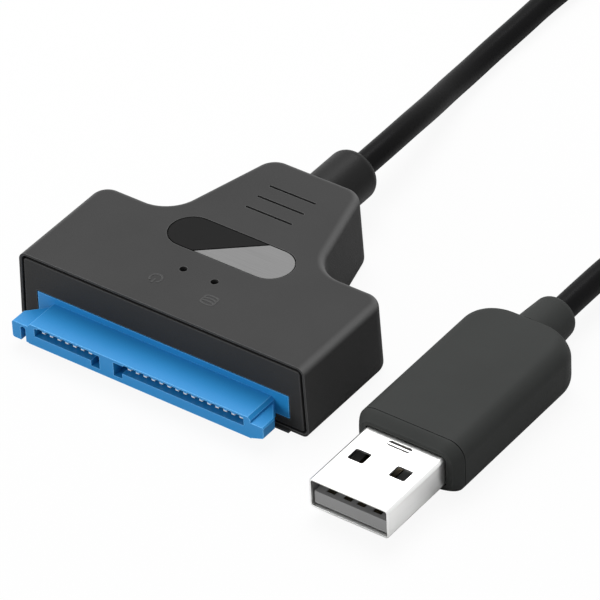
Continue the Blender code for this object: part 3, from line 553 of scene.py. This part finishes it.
drive_mark = round_strands("drive_mark", drive_lines, mark_thickness * mm, mark_fineness)
for mark in (power_mark, drive_mark):
    mark.data.materials.append(housing_black)
    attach(mark, "root")

# Inlay
# Two thin plates of sheet plastic, dark and light, cut along a slanted line and glued flush into
# the recess in the roof. Their faces are satin, with a fine brushed grain along the length.
split_angle = math.radians(39.4)
plate_edge = 0.05
brush_depth = 0.004
inlay_dark_tone, inlay_light_tone = (0.005, 0.005, 0.005), (0.148, 0.148, 0.148)
plate_base = recess_base + snug


def keep_side(outline, point, direction):
    """The part of an outline on the side of a line that direction points to."""

    def height(p):
        return (p[0] - point[0]) * direction[0] + (p[1] - point[1]) * direction[1]

    kept = []
    for here, after in zip(outline, outline[1:] + outline[:1]):
        if height(here) >= 0:
            kept.append(here)
        if (height(here) >= 0) != (height(after) >= 0):
            share = height(here) / (height(here) - height(after))
            kept.append(tuple(a + (b - a) * share for a, b in zip(here, after)))
    return kept


def build_drawn_lines():
    """Fine marks left by brushing or rolling, in tone, roughness and relief.

    Marks Per Metre is how many lie along X, Y and Z. A mark as weak as Faintest takes the dark share
    of the tone, and one as strong as Strongest takes the light share.
    """
    inputs = {"Tone": "Color", "Marks Per Metre": "Vector", "Faintest": "Float", "Strongest": "Float"}
    inputs |= {"Dark Share": "Float", "Light Share": "Float", "Smoothest": "Float", "Roughest": "Float"}
    group = shader_group("drawn_lines", inputs, {"Color": "Color", "Roughness": "Float", "Relief": "Float"})
    given = group.nodes.new("NodeGroupInput").outputs
    result = group.nodes.new("NodeGroupOutput").inputs
    place = group.nodes.new("ShaderNodeTexCoord").outputs["Object"]
    stretch = shader_step(group, "ShaderNodeMapping", Vector=place, Scale=given["Marks Per Metre"])
    marks = shader_step(group, "ShaderNodeTexNoise", Vector=stretch.outputs["Vector"], Scale=1.0, Detail=3.0)
    strength = marks.outputs["Fac"]
    strengths = (given["Faintest"], given["Strongest"])
    share = spread(group, strength, strengths, (given["Dark Share"], given["Light Share"]))
    tone = shader_step(group, "ShaderNodeVectorMath", Vector=given["Tone"])
    tone.operation = "SCALE"
    feed(group, tone.inputs["Scale"], share)
    feed(group, result["Color"], tone.outputs["Vector"])
    rough = spread(group, strength, (0.0, 1.0), (given["Smoothest"], given["Roughest"]))
    feed(group, result["Roughness"], rough)
    feed(group, result["Relief"], strength)
    return group


drawn_lines = build_drawn_lines()


def brushed(name, tone, gloss):
    """Satin sheet with fine scratches along X."""
    values = {
        "Tone": (*tone, 1.0),
        "Marks Per Metre": (120.0, 6000.0, 6000.0),
        "Faintest": 0.3,
        "Strongest": 0.7,
        "Dark Share": 0.9,
        "Light Share": 1.1,
        "Smoothest": 0.4,
        "Roughest": 0.55,
    }
    return covered(name, drawn_lines, values, brush_depth, gloss)


def plate_outline(side, inset):
    """One half of the inlay, below the slanted line (-1) or above it (1), moved inwards."""
    direction = (side * math.sin(split_angle), -side * math.cos(split_angle))
    edge = snug / 2 + inset
    point = (direction[0] * edge, inlay_y + direction[1] * edge)
    whole = stadium(inlay_length - 2 * inset, inlay_width - 2 * inset, 0, inlay_y)
    return keep_side(whole, point, direction)


plates = (
    ("dark", -1, brushed("inlay_black", inlay_dark_tone, gloss=0.05)),
    ("light", 1, brushed("inlay_silver", inlay_light_tone, gloss=0.25)),
)
for tint, side, material in plates:
    levels = [
        (plate_outline(side, 0.0), plate_base),
        (plate_outline(side, 0.0), plate_base + inlay_thickness - plate_edge),
        (plate_outline(side, plate_edge), plate_base + inlay_thickness),
    ]
    plate = skinned(f"inlay_plate_{tint}", level_rings(levels), material)
    shade(plate, sharpest=20.0)
    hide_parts(f"inlay_{tint}")
    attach(plate, "root")

# Housing bezel
# A second moulding in a slightly darker black plastic, snapped into the sleeve's mouth with an even
# seam all round. Its window is stepped, wide for the receptacle's flange and narrower for its block.
bezel_thickness = 1.8
seam_gap = 0.38
bezel_inset = mouth_lip + seam_gap
bezel_grey = (0.027, 0.027, 0.027)
# Lighter edge grey: partly edge wear, partly a painted highlight on convex edges.
bezel_edge_wear_and_highlight_grey = (0.08, 0.08, 0.08)
block_width, block_height, block_reach = 35.8, 3.3, 5.2
flange_height, flange_rise = 3.55, 0.7
receptacle_base = floor_thickness + fit
flange_base = receptacle_base + flange_rise
flange_top = flange_base + flange_height
bezel_black = moulded(
    "bezel_black", bezel_grey, bezel_edge_wear_and_highlight_grey, roughness=0.6, gloss=0.1, grain_size=5200.0, grain_depth=0.03
)
bezel_levels = [
    (mouth_outline(bezel_inset + lead_in), 0.0),
    (mouth_outline(bezel_inset), lead_in),
    (mouth_outline(bezel_inset), bezel_thickness),
]
bezel = skinned("housing_bezel", upright_rings(bezel_levels), bezel_black)
for half_width, low, high in (
    (flange_width / 2 + snug, flange_base - snug, flange_top + snug),
    (block_width / 2 + snug, receptacle_base - snug, flange_base + snug),
):
    window_high = (half_width, bezel_thickness + overcut, high)
    carve(bezel, block("window", (-half_width, -overcut, low), window_high))
shade(bezel)
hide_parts("front_bezel")
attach(bezel, "root")

# Drive receptacle
# One blue nylon moulding: a nose block with two keyed slots whose roofs are grooved for the
# contacts, a guide ear at each end, and a flange and shoulder held between bezel and sleeve.
shoulder_step = 0.6
receptacle_depth = 5.0
block_edge, edge_round = 0.45, 0.09
left_ear_width, left_ear_height = 2.6, 2.65
right_ear_width, right_ear_height, right_ear_slope = 2.0, 2.4, 0.6
ear_rise, ear_root, ear_straight, ear_edge, ear_slope_width = 0.1, 2.0, 2.4, 0.2, 1.9
notch_width, notch_inset, notch_depth, notch_roof = 0.8, 1.8, 2.3, 0.35
slot_height, slot_rise, slot_depth, slot_end_margin = 1.25, 1.6, 6.2, 0.93
data_slot_width, power_slot_width = 10.6, 20.75
key_width, key_drop = 1.4, 0.85
comb_height = 0.2
pin_pitch, pin_width, pin_thickness = 1.27, 0.5, 0.3
data_pins, power_pins, group_step = 7, 15, 6.35
receptacle_blue = (0.015, 0.212, 0.505)
# Lighter edge blue: partly edge wear, partly a painted highlight on convex edges.
receptacle_edge_wear_and_highlight_blue = (0.14, 0.46, 0.85)
half_block = block_width / 2
block_top = receptacle_base + block_height
shoulder_front = bezel_thickness + fit
slot_base = receptacle_base + slot_rise
slot_top = slot_base + slot_height
slot_rear = slot_depth - block_reach
cut_front = -block_reach - overcut
pin_base = slot_top - snug - pin_thickness
ear_base = receptacle_base + ear_rise
blue_nylon = moulded(
    "blue_nylon", receptacle_blue, receptacle_edge_wear_and_highlight_blue,
    roughness=0.42, gloss=0.3, grain_size=3600.0, grain_depth=0.012, edge_width=0.2, drift=0.06,
)

flange_low = (-flange_width / 2, 0.0, flange_base)
flange_high = (flange_width / 2, shoulder_front + snug, flange_top)
receptacle = block("drive_receptacle", flange_low, flange_high, blue_nylon)
nose_outline = (
    (-half_block, receptacle_base),
    (half_block, receptacle_base),
    (half_block, block_top - block_edge),
    (half_block - block_edge, block_top),
    (-half_block + block_edge, block_top),
    (-half_block, block_top - block_edge),
)
nose_levels = [(nose_outline, -block_reach), (nose_outline, shoulder_front + fit)]
nose = skinned("nose", upright_rings(nose_levels), blue_nylon)
shoulder_low = (-flange_width / 2 - shoulder_step, shoulder_front, ear_base)
shoulder_high = (flange_width / 2 + shoulder_step, receptacle_depth, flange_top + shoulder_step)
carve(receptacle, nose, block("shoulder", shoulder_low, shoulder_high, blue_nylon), operation="UNION")


def guide_ear(side, width, height, slope_rise):
    """An ear beside the nose: straight at its front, then slanting back to the nose."""
    places = (
        (-block_reach, half_block + width),
        (-block_reach + ear_straight, half_block + width),
        (-snug, half_block + lead_in),
    )
    rings = []
    for y, outer in places:
        section = (
            (half_block - ear_root, ear_base),
            (outer - ear_slope_width, ear_base),
            (outer - ear_edge, ear_base + slope_rise),
            (outer, ear_base + slope_rise + ear_edge),
            (outer, ear_base + height - ear_edge),
            (outer - ear_edge, ear_base + height),
            (half_block - ear_root, ear_base + height),
        )
        rings.append([(side * x, y, z) for x, z in section])
    return skinned("ear", rings, blue_nylon)


left_ear = guide_ear(-1, left_ear_width, left_ear_height, 0.0)
right_ear = guide_ear(1, right_ear_width, right_ear_height, right_ear_slope)
carve(receptacle, left_ear, right_ear, operation="UNION")
notch_half = notch_width / 2
notch_x = -(half_block + left_ear_width - notch_inset)
notch_z = ear_base + left_ear_height - notch_roof - notch_half
notch_outline = arc(notch_x, notch_z, notch_half, 0, math.pi, corner_steps)
notch_outline += [(notch_x + side * notch_half, ear_base - overcut) for side in (-1, 1)]
notch_levels = [(notch_outline, cut_front), (notch_outline, -block_reach + notch_depth)]
carve(receptacle, skinned("notch", upright_rings(notch_levels)))

last_power_pin = ((data_pins + power_pins - 2) * pin_pitch + group_step) / 2
first_power_pin = last_power_pin - (power_pins - 1) * pin_pitch
first_data_pin = -last_power_pin
data_left = first_data_pin - slot_end_margin
power_right = last_power_pin + slot_end_margin
slots = (
    (data_left, data_left + data_slot_width, data_left + data_slot_width - key_width),
    (power_right - power_slot_width, power_right, power_right - power_slot_width),
)
for left, right, key_left in slots:
    slot = block("slot", (left, cut_front, slot_base), (right, slot_rear, slot_top))
    key_low = (key_left, cut_front, slot_base - key_drop)
    key = block("key", key_low, (key_left + key_width, slot_rear, slot_top))
    carve(receptacle, slot, key)
soften(receptacle, edge_round)
pin_places = [first_data_pin + n * pin_pitch for n in range(data_pins)]
pin_places += [first_power_pin + n * pin_pitch for n in range(power_pins)]
channel_half = pin_width / 2 + snug
for x in pin_places:
    groove_low = (x - channel_half, cut_front, slot_top - comb_height)
    groove_high = (x + channel_half, slot_rear - overcut, slot_top + comb_height)
    channel_low = (x - channel_half, slot_rear - overcut / 2, pin_base - snug)
    channel_high = (x + channel_half, receptacle_depth + overcut, slot_top - lead_in)
    carve(receptacle, block("comb_groove", groove_low, groove_high))
    carve(receptacle, block("channel", channel_low, channel_high))
shade(receptacle)
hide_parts("receptacle_insulator")
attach(receptacle, "root")

# Contacts
# Stamped copper alloy strips under a thin matt plating, pale on those sprung under the roof of each
# slot and darker on those laid along the plug's tongue. Only their tips show.
plating_tone = (0.92, 0.90, 0.86)
tongue_plating_tone = (0.10, 0.085, 0.06)
rolling_depth = 0.002
usb_pins = 4


def plated(name, tone, roughness, streaks, metal=1.0):
    """Plated metal with faint rolling marks along Y. A matt plating is less of a mirror."""
    values = {
        "Tone": (*tone, 1.0),
        "Marks Per Metre": (4200.0, 160.0, 4200.0),
        "Faintest": 0.0,
        "Strongest": 1.0,
        "Dark Share": 0.94,
        "Light Share": 1.0,
        "Smoothest": roughness - streaks,
        "Roughest": roughness + streaks,
    }
    return covered(name, drawn_lines, values, rolling_depth, metal=metal)


def refinish(node, material):
    """Give a solid of the frame another finish."""
    kept = bpy.data.objects[node].data.materials
    kept.clear()
    kept.append(material)


contact_plating = plated("contact_plating", plating_tone, roughness=0.4, streaks=0.06, metal=0.4)
tongue_plating = plated("tongue_plating", tongue_plating_tone, roughness=0.4, streaks=0.06)
contact_groups = (
    ("data", data_pins, contact_plating),
    ("power", power_pins, contact_plating),
    ("usb", usb_pins, tongue_plating),
)
for group, count, plating in contact_groups:
    for number in range(1, count + 1):
        refinish(f"{group}_contact_{number}", plating)

# Circuit board
# Glass fibre laminate under green solder mask, cut to the housing's T and carried on the sleeve's
# ribs. A bridge chip, a crystal in its can, an inductor, a regulator and three ceramic capacitors
# are soldered on it, and two clear lamps stand under the holes in the roof.
mask_green, mask_dark_green = (0.012, 0.11, 0.045), (0.008, 0.07, 0.03)
track_pitch, track_height, mask_roughness = 1500.0, 0.03, 0.35
can_tone = (0.62, 0.62, 0.6)
solder_mask = bpy.data.materials.new("solder_mask")
solder_mask.use_nodes = True
tree = solder_mask.node_tree
mask_shader = tree.nodes["Principled BSDF"]
mask_shader.inputs["Roughness"].default_value = mask_roughness
board_place = tree.nodes.new("ShaderNodeTexCoord").outputs["Object"]
tracks = shader_step(tree, "ShaderNodeTexBrick", Vector=board_place, Scale=track_pitch)
for name, tone in (("Color1", mask_green), ("Color2", mask_green), ("Mortar", mask_dark_green)):
    tracks.inputs[name].default_value = (*tone, 1.0)
track_relief = shader_step(tree, "ShaderNodeBump", Distance=track_height * mm, Height=tracks.outputs["Fac"])
feed(tree, mask_shader.inputs["Base Color"], tracks.outputs["Color"])
feed(tree, mask_shader.inputs["Normal"], track_relief.outputs["Normal"])

# The second tone of each is its lighter edge tone: partly wear, partly a painted highlight.
epoxy_black = moulded(
    "epoxy_black", (0.02, 0.02, 0.02), (0.04, 0.04, 0.04),
    roughness=0.5, gloss=0.4, grain_size=4000.0, grain_depth=0.02, edge_width=0.1,
)
ferrite = moulded(
    "ferrite", (0.10, 0.10, 0.10), (0.16, 0.16, 0.16),
    roughness=0.65, gloss=0.3, grain_size=3000.0, grain_depth=0.04, edge_width=0.15,
)
ceramic = moulded(
    "ceramic", (0.42, 0.29, 0.17), (0.6, 0.55, 0.5),
    roughness=0.5, gloss=0.4, grain_size=3000.0, grain_depth=0.02, edge_width=0.1,
)
lamp_resin = moulded(
    "lamp_resin", (0.7, 0.72, 0.75), (0.8, 0.8, 0.8),
    roughness=0.2, gloss=0.5, grain_size=1200.0, grain_depth=0.005, edge_width=0.1,
)
can_steel = plated("can_steel", can_tone, roughness=0.3, streaks=0.06)
board_finishes = {
    "circuit_board": solder_mask,
    "crystal": can_steel,
    "inductor": ferrite,
    "bridge_chip": epoxy_black,
    "regulator": epoxy_black,
    "capacitor_1": ceramic,
    "capacitor_2": ceramic,
    "capacitor_3": ceramic,
    "status_lamp_1": lamp_resin,
    "status_lamp_2": lamp_resin,
}
for node, material in board_finishes.items():
    refinish(node, material)

# Wires
# Four stranded cores in thin coloured insulation, stripped out of the cable's jacket inside the
# housing and inside the plug, and soldered to the board and to the plug's contacts.
wire_tones = {
    "red": (0.5, 0.02, 0.02),
    "white": (0.75, 0.75, 0.72),
    "green": (0.02, 0.3, 0.06),
    "black": (0.02, 0.02, 0.02),
}
for tint, tone in wire_tones.items():
    insulation = moulded(
        f"{tint}_insulation", tone, tone,
        roughness=0.4, gloss=0.5, grain_size=2000.0, grain_depth=0.01, edge_width=0.1,
    )
    for end in ("board", "plug"):
        refinish(f"{end}_wire_{tint}", insulation)

# Collar
# A round strain relief moulded in soft black rubber. Its neck passes the sleeve's rear wall, a lip
# inside holds it, and the collar outside ends in a well rounded shoulder about the cable.
collar_radius = (collar_high.x - collar_low.x) / 2 / mm
collar_front = housing_length + snug
collar_end = (collar_high.y - front_y) / mm
collar_round, collar_foot_round = 1.5, 0.3
round_steps, collar_sides = 12, 64
cable_bore = cable_diameter / 2 + fit
lip_radius, lip_thickness, neck_radius = 3.35, 1.0, 2.8
rubber_black = (0.009, 0.009, 0.009)
# Lighter edge tone: partly edge wear, partly a painted highlight on convex edges.
rubber_edge_wear_and_highlight = (0.013, 0.013, 0.013)
lip_rear = housing_length - side_wall - side_draft - fit
collar_profile = [
    (lip_rear - lip_thickness, cable_bore),
    (lip_rear - lip_thickness, lip_radius),
    (lip_rear, lip_radius),
    (lip_rear, neck_radius),
    (collar_front, neck_radius),
    (collar_front, collar_radius - collar_foot_round),
]
for y, radius, size, first in (
    (collar_front + collar_foot_round, collar_radius - collar_foot_round, collar_foot_round, -quarter),
    (collar_end - collar_round, collar_radius - collar_round, collar_round, 0.0),
):
    turns = [first + quarter * step / round_steps for step in range(round_steps + 1)]
    collar_profile += [(y + size * math.sin(t), radius + size * math.cos(t)) for t in turns]
collar_profile.append((collar_end, cable_bore))
relief_rubber = moulded(
    "relief_rubber", rubber_black, rubber_edge_wear_and_highlight,
    roughness=0.42, gloss=0.11, grain_size=3200.0, grain_depth=0.02, edge_width=0.3,
)
collar_rings = turned_rings(collar_profile, 0, exit_height / mm, collar_sides)
collar = skinned("relief_collar", collar_rings, relief_rubber, hoop=True)
shade(collar)
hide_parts("strain_relief")
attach(collar, "root")

# Plug shell
# Sheet steel, 0.3 mm thick, folded into a rectangular tube with its seam below, then bright
# nickel plated. Two latch windows pierce it above and below, and a short lance keys the insert.
shell_low, shell_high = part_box("usb_shell")
plug_x = (shell_low.x + shell_high.x) / 2 / mm
plug_z = plug_height / mm
shell_width = (shell_high.x - shell_low.x) / mm
shell_height = (shell_high.z - shell_low.z) / mm
shell_front = (shell_low.y - front_y) / mm
shell_end = (shell_high.y - front_y) / mm
shell_wall, shell_corner, shell_edge = 0.3, 0.55, 0.08
latch_width, latch_length, latch_spacing, latch_setback = 2.4, 2.2, 6.3, 6.9
latch_corner = 0.25
shell_steps, latch_steps = 8, 6
lance_width, lance_length, lance_setback, lance_strip = 3.6, 1.0, 11.1, 0.3
seam_width = 0.08
nickel_tone = (0.88, 0.88, 0.87)


def rounded_rectangle(half_width, half_height, radius, steps):
    x, y = half_width - radius, half_height - radius
    corners = ((x, y, 0), (-x, y, 1), (-x, -y, 2), (x, -y, 3))
    return [
        point
        for cx, cy, turn in corners
        for point in arc(cx, cy, radius, turn * quarter, (turn + 1) * quarter, steps)
    ]


def shell_section(inset):
    half_width, half_height = shell_width / 2 - inset, shell_height / 2 - inset
    outline = rounded_rectangle(half_width, half_height, max(shell_corner - inset, fit / 2), shell_steps)
    return [(plug_x + x, plug_z + z) for x, z in outline]


nickel = plated("nickel_plate", nickel_tone, roughness=0.3, streaks=0.04)
shell_levels = [
    (shell_section(shell_edge), shell_front),
    (shell_section(shell_edge / 4), shell_front + shell_edge / 4),
    (shell_section(0.0), shell_front + shell_edge),
    (shell_section(0.0), shell_end),
    (shell_section(shell_wall), shell_end),
    (shell_section(shell_wall), shell_front + shell_edge),
    (shell_section(shell_wall - shell_edge / 2), shell_front),
]
shell = skinned("plug_shell", upright_rings(shell_levels), nickel, hoop=True)
latch_y = shell_front + latch_setback
for side in (-1, 1):
    opening = rounded_rectangle(latch_width / 2, latch_length / 2, latch_corner, latch_steps)
    opening = [(plug_x + side * latch_spacing / 2 + x, latch_y + y) for x, y in opening]
    latch_levels = [(opening, -overcut), (opening, plug_z + shell_height)]
    carve(shell, skinned("latch_window", level_rings(latch_levels)))
lance_y = shell_front + lance_setback
shell_top = plug_z + shell_height / 2
lance_opening = stadium(lance_width, lance_length, plug_x, lance_y)
lance_levels = [(lance_opening, shell_top - shell_wall - overcut / 4), (lance_opening, shell_top + overcut)]
carve(shell, skinned("lance_hole", level_rings(lance_levels)))
lance_outline = stadium(lance_width + shell_wall, lance_strip, plug_x, lance_y)
lance_levels = [(lance_outline, shell_top - shell_wall), (lance_outline, shell_top - shell_wall / 4)]
carve(shell, skinned("lance", level_rings(lance_levels), nickel), operation="UNION")
seam_low = (plug_x - seam_width / 2, shell_front - overcut, plug_z - shell_height)
seam_high = (plug_x + seam_width / 2, shell_end + overcut, plug_z)
carve(shell, block("seam", seam_low, seam_high))
shade(shell)
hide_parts("usb_shell")
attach(shell, "root")

# Plug insert
# A grey plastic moulding inside the shell: a tongue on the shell's floor, with a groove for each
# contact, and a full-height block behind it that closes the shell.
insert_grey = (0.21, 0.21, 0.21)
# Lighter edge grey: partly edge wear, partly a painted highlight on convex edges.
insert_edge_wear_and_highlight_grey = (0.32, 0.32, 0.32)
tongue_height, tongue_setback, tongue_length = 1.95, 0.4, 12.0
insert_round = 0.12
usb_pin_places = (-3.5, -1.0, 1.0, 3.5)
usb_pin_width, usb_pin_thickness, usb_pin_setback, usb_pin_tail = 1.0, 0.2, 0.8, 2.2
insert_half = shell_width / 2 - shell_wall - snug
tongue_base = plug_z - shell_height / 2 + shell_wall + snug
tongue_top = tongue_base + tongue_height
insert_top = shell_top - shell_wall - snug
insert_section = (
    (tongue_setback, tongue_base),
    (shell_end - shell_front, tongue_base),
    (shell_end - shell_front, insert_top),
    (tongue_length, insert_top),
    (tongue_length, tongue_top),
    (tongue_setback, tongue_top),
)
insert_ends = (plug_x - insert_half, plug_x + insert_half)
insert_rings = [[(x, shell_front + y, z) for y, z in insert_section] for x in insert_ends]
insert_plastic = moulded(
    "insert_plastic", insert_grey, insert_edge_wear_and_highlight_grey,
    roughness=0.5, gloss=0.4, grain_size=3000.0, grain_depth=0.01, edge_width=0.12,
)
insert = skinned("plug_tongue", insert_rings, insert_plastic)
soften(insert, insert_round)
strip_base = tongue_top - usb_pin_thickness / 2
strip_front = shell_front + tongue_setback + usb_pin_setback
for place in usb_pin_places:
    half = usb_pin_width / 2 + snug
    groove_low = (plug_x + place - half, strip_front - snug, strip_base - snug)
    groove_high = (plug_x + place + half, shell_end + usb_pin_tail, strip_base + usb_pin_thickness + snug)
    carve(insert, block("pin_groove", groove_low, groove_high))
shade(insert)
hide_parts("usb_insert")
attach(insert, "root")

# Plug grip
# Soft black PVC moulded over the shell's rear and the cable. Its front rim slopes back to a fine
# parting line, its rear corners are rounded in plan, and a short barrel relieves the cable.
shell_showing = 12.3
grip_front = shell_front + shell_showing
grip_width = (grip_high.x - grip_low.x) / mm
grip_thickness = (grip_high.z - grip_low.z) / mm
barrel_end = (grip_high.y - front_y) / mm
barrel_length, barrel_radius, barrel_round = 6.8, 3.1, 1.4
barrel_foot = ((0.02, 3.5), (0.7, 3.4))
grip_end = barrel_end - barrel_length
grip_edge, rear_edge = 2.4, 3.1
front_slope, front_loss, front_curve = 1.5, 0.9, 1.3
slope_steps, shoulder_steps, barrel_steps, grip_corner_steps = 6, 18, 10, 10
shoulder_length, shoulder_loss, rear_thinning = 3.9, 3.1, 0.6
grip_wall = 1.7
line_width, line_depth = 0.2, 0.1
line_profile = ((0.2, line_depth), (0.8, line_depth), (1.0, 0.0))
grip_black = (0.034, 0.0355, 0.0345)
# Lighter edge tone: partly edge wear, partly a painted highlight on convex edges.
grip_edge_wear_and_highlight_black = (0.044, 0.046, 0.0445)


def grip_section(y, half_width, half_thickness, edge):
    outline = rounded_rectangle(half_width, half_thickness, edge, grip_corner_steps)
    return [(plug_x + x, y, plug_z + z) for x, z in outline]


half_width, half_thickness = grip_width / 2, grip_thickness / 2
grip_rings = []
for step in range(slope_steps + 1):
    share = step / slope_steps
    lost = front_loss * (1 - share) ** front_curve
    ring_y = grip_front + front_slope * share
    grip_rings.append(grip_section(ring_y, half_width - lost, half_thickness - lost, grip_edge - lost / 3))
line_y = grip_front + front_slope
for back, sunk_by in line_profile:
    sides = (half_width - sunk_by, half_thickness - sunk_by)
    grip_rings.append(grip_section(line_y + line_width * back, *sides, grip_edge))
for step in range(shoulder_steps + 1):
    t = quarter * step / shoulder_steps
    bowed = 1 - math.cos(t)
    width = half_width - shoulder_loss * bowed
    thickness = half_thickness - rear_thinning * bowed
    edge = grip_edge + (rear_edge - grip_edge) * bowed
    ring_y = grip_end - shoulder_length * (1 - math.sin(t))
    grip_rings.append(grip_section(ring_y, width, thickness, edge))
for back, radius in barrel_foot:
    grip_rings.append(grip_section(grip_end + back, radius, radius, radius))
for step in range(barrel_steps + 1):
    t = quarter * step / barrel_steps
    radius = barrel_radius - barrel_round * (1 - math.cos(t))
    grip_rings.append(grip_section(barrel_end - barrel_round * (1 - math.sin(t)), radius, radius, radius))
grip_rubber = moulded(
    "grip_rubber", grip_black, grip_edge_wear_and_highlight_black,
    roughness=0.5, gloss=0.03, grain_size=3000.0, grain_depth=0.015, edge_width=0.3,
)
grip = skinned("plug_grip", grip_rings, grip_rubber)
pocket_half_width, pocket_half_height = shell_width / 2 + snug, shell_height / 2 + snug
pocket_outline = rounded_rectangle(pocket_half_width, pocket_half_height, shell_corner + snug, shell_steps)
pocket_outline = [(plug_x + x, plug_z + z) for x, z in pocket_outline]
pocket_levels = [(pocket_outline, grip_front - overcut), (pocket_outline, shell_end + fit)]
cable_end = (cable_line[-1].y - front_y) / mm
chamber_half = half_width - 2 * grip_wall
chamber_low = (plug_x - chamber_half, shell_end, plug_z - half_thickness + grip_wall)
chamber_high = (plug_x + chamber_half, cable_end + overcut / 2, plug_z + half_thickness - grip_wall)
bore_profile = [(cable_end - overcut / 2, cable_bore), (barrel_end + overcut, cable_bore)]
carve(
    grip,
    skinned("pocket", upright_rings(pocket_levels)),
    block("chamber", chamber_low, chamber_high),
    skinned("bore", turned_rings(bore_profile, plug_x, plug_z, hole_sides)),
)
shade(grip)
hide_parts("usb_grip")
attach(grip, "root")

# Floor, world and lamps
# A pale table just under the adapter, nearly white to the camera but still shaded beneath it, in
# a white room. One large softbox overhead and a weak one in front give plain light.
table_size = 3.0
table_drop = 0.02
table_tone = (0.62, 0.62, 0.62)
table_roughness = 0.9
table_glow = 0.92
world_light = 0.42
table_plane = bmesh.new()
bmesh.ops.create_grid(table_plane, x_segments=1, y_segments=1, size=table_size)
table_mesh = bpy.data.meshes.new("table")
table_plane.to_mesh(table_mesh)
table_plane.free()
table = bpy.data.objects.new("table", table_mesh)
table.location.z = -table_drop * mm
bpy.context.scene.collection.objects.link(table)

table_material = bpy.data.materials.new("table_white")
table_material.use_nodes = True
tree = table_material.node_tree
paint = tree.nodes["Principled BSDF"]
paint.inputs["Base Color"].default_value = (*table_tone, 1.0)
paint.inputs["Roughness"].default_value = table_roughness
paint.inputs["Specular IOR Level"].default_value = 0.0
glow = tree.nodes.new("ShaderNodeEmission")
table_rays = tree.nodes.new("ShaderNodeLightPath").outputs
mixed = tree.nodes.new("ShaderNodeMixShader")
feed(tree, mixed.inputs["Fac"], reckon(tree, "MULTIPLY", table_rays["Is Camera Ray"], table_glow))
feed(tree, mixed.inputs[1], paint.outputs[0])
feed(tree, mixed.inputs[2], glow.outputs[0])
feed(tree, tree.nodes["Material Output"].inputs["Surface"], mixed.outputs[0])
table_mesh.materials.append(table_material)

world = bpy.data.worlds.new("studio")
world.use_nodes = True
bpy.context.scene.world = world
tree = world.node_tree
rays = tree.nodes.new("ShaderNodeLightPath").outputs
mirrored = reckon(tree, "MAXIMUM", rays["Is Glossy Ray"], rays["Is Transmission Ray"])
seen = reckon(tree, "MAXIMUM", rays["Is Camera Ray"], mirrored)
room = tree.nodes["Background"].inputs
room["Color"].default_value = (1.0, 1.0, 1.0, 1.0)
feed(tree, room["Strength"], spread(tree, seen, (0.0, 1.0), (world_light, 1.0)))


def softbox(name, place, width, height, power):
    data = bpy.data.lights.new(name, "AREA")
    data.shape = "RECTANGLE"
    data.size, data.size_y = width, height
    data.energy = power
    lamp = bpy.data.objects.new(name, data)
    lamp.location = place
    lamp.rotation_mode = "QUATERNION"
    lamp.rotation_quaternion = Vector(place).to_track_quat("Z", "Y")
    bpy.context.scene.collection.objects.link(lamp)


softbox("overhead", place=(-0.15, 0.25, 0.75), width=0.6, height=0.6, power=8.0)
softbox("front_fill", place=(-0.35, -0.8, 0.3), width=0.5, height=0.4, power=3.5)

bpy.context.scene.view_settings.view_transform = "Standard"
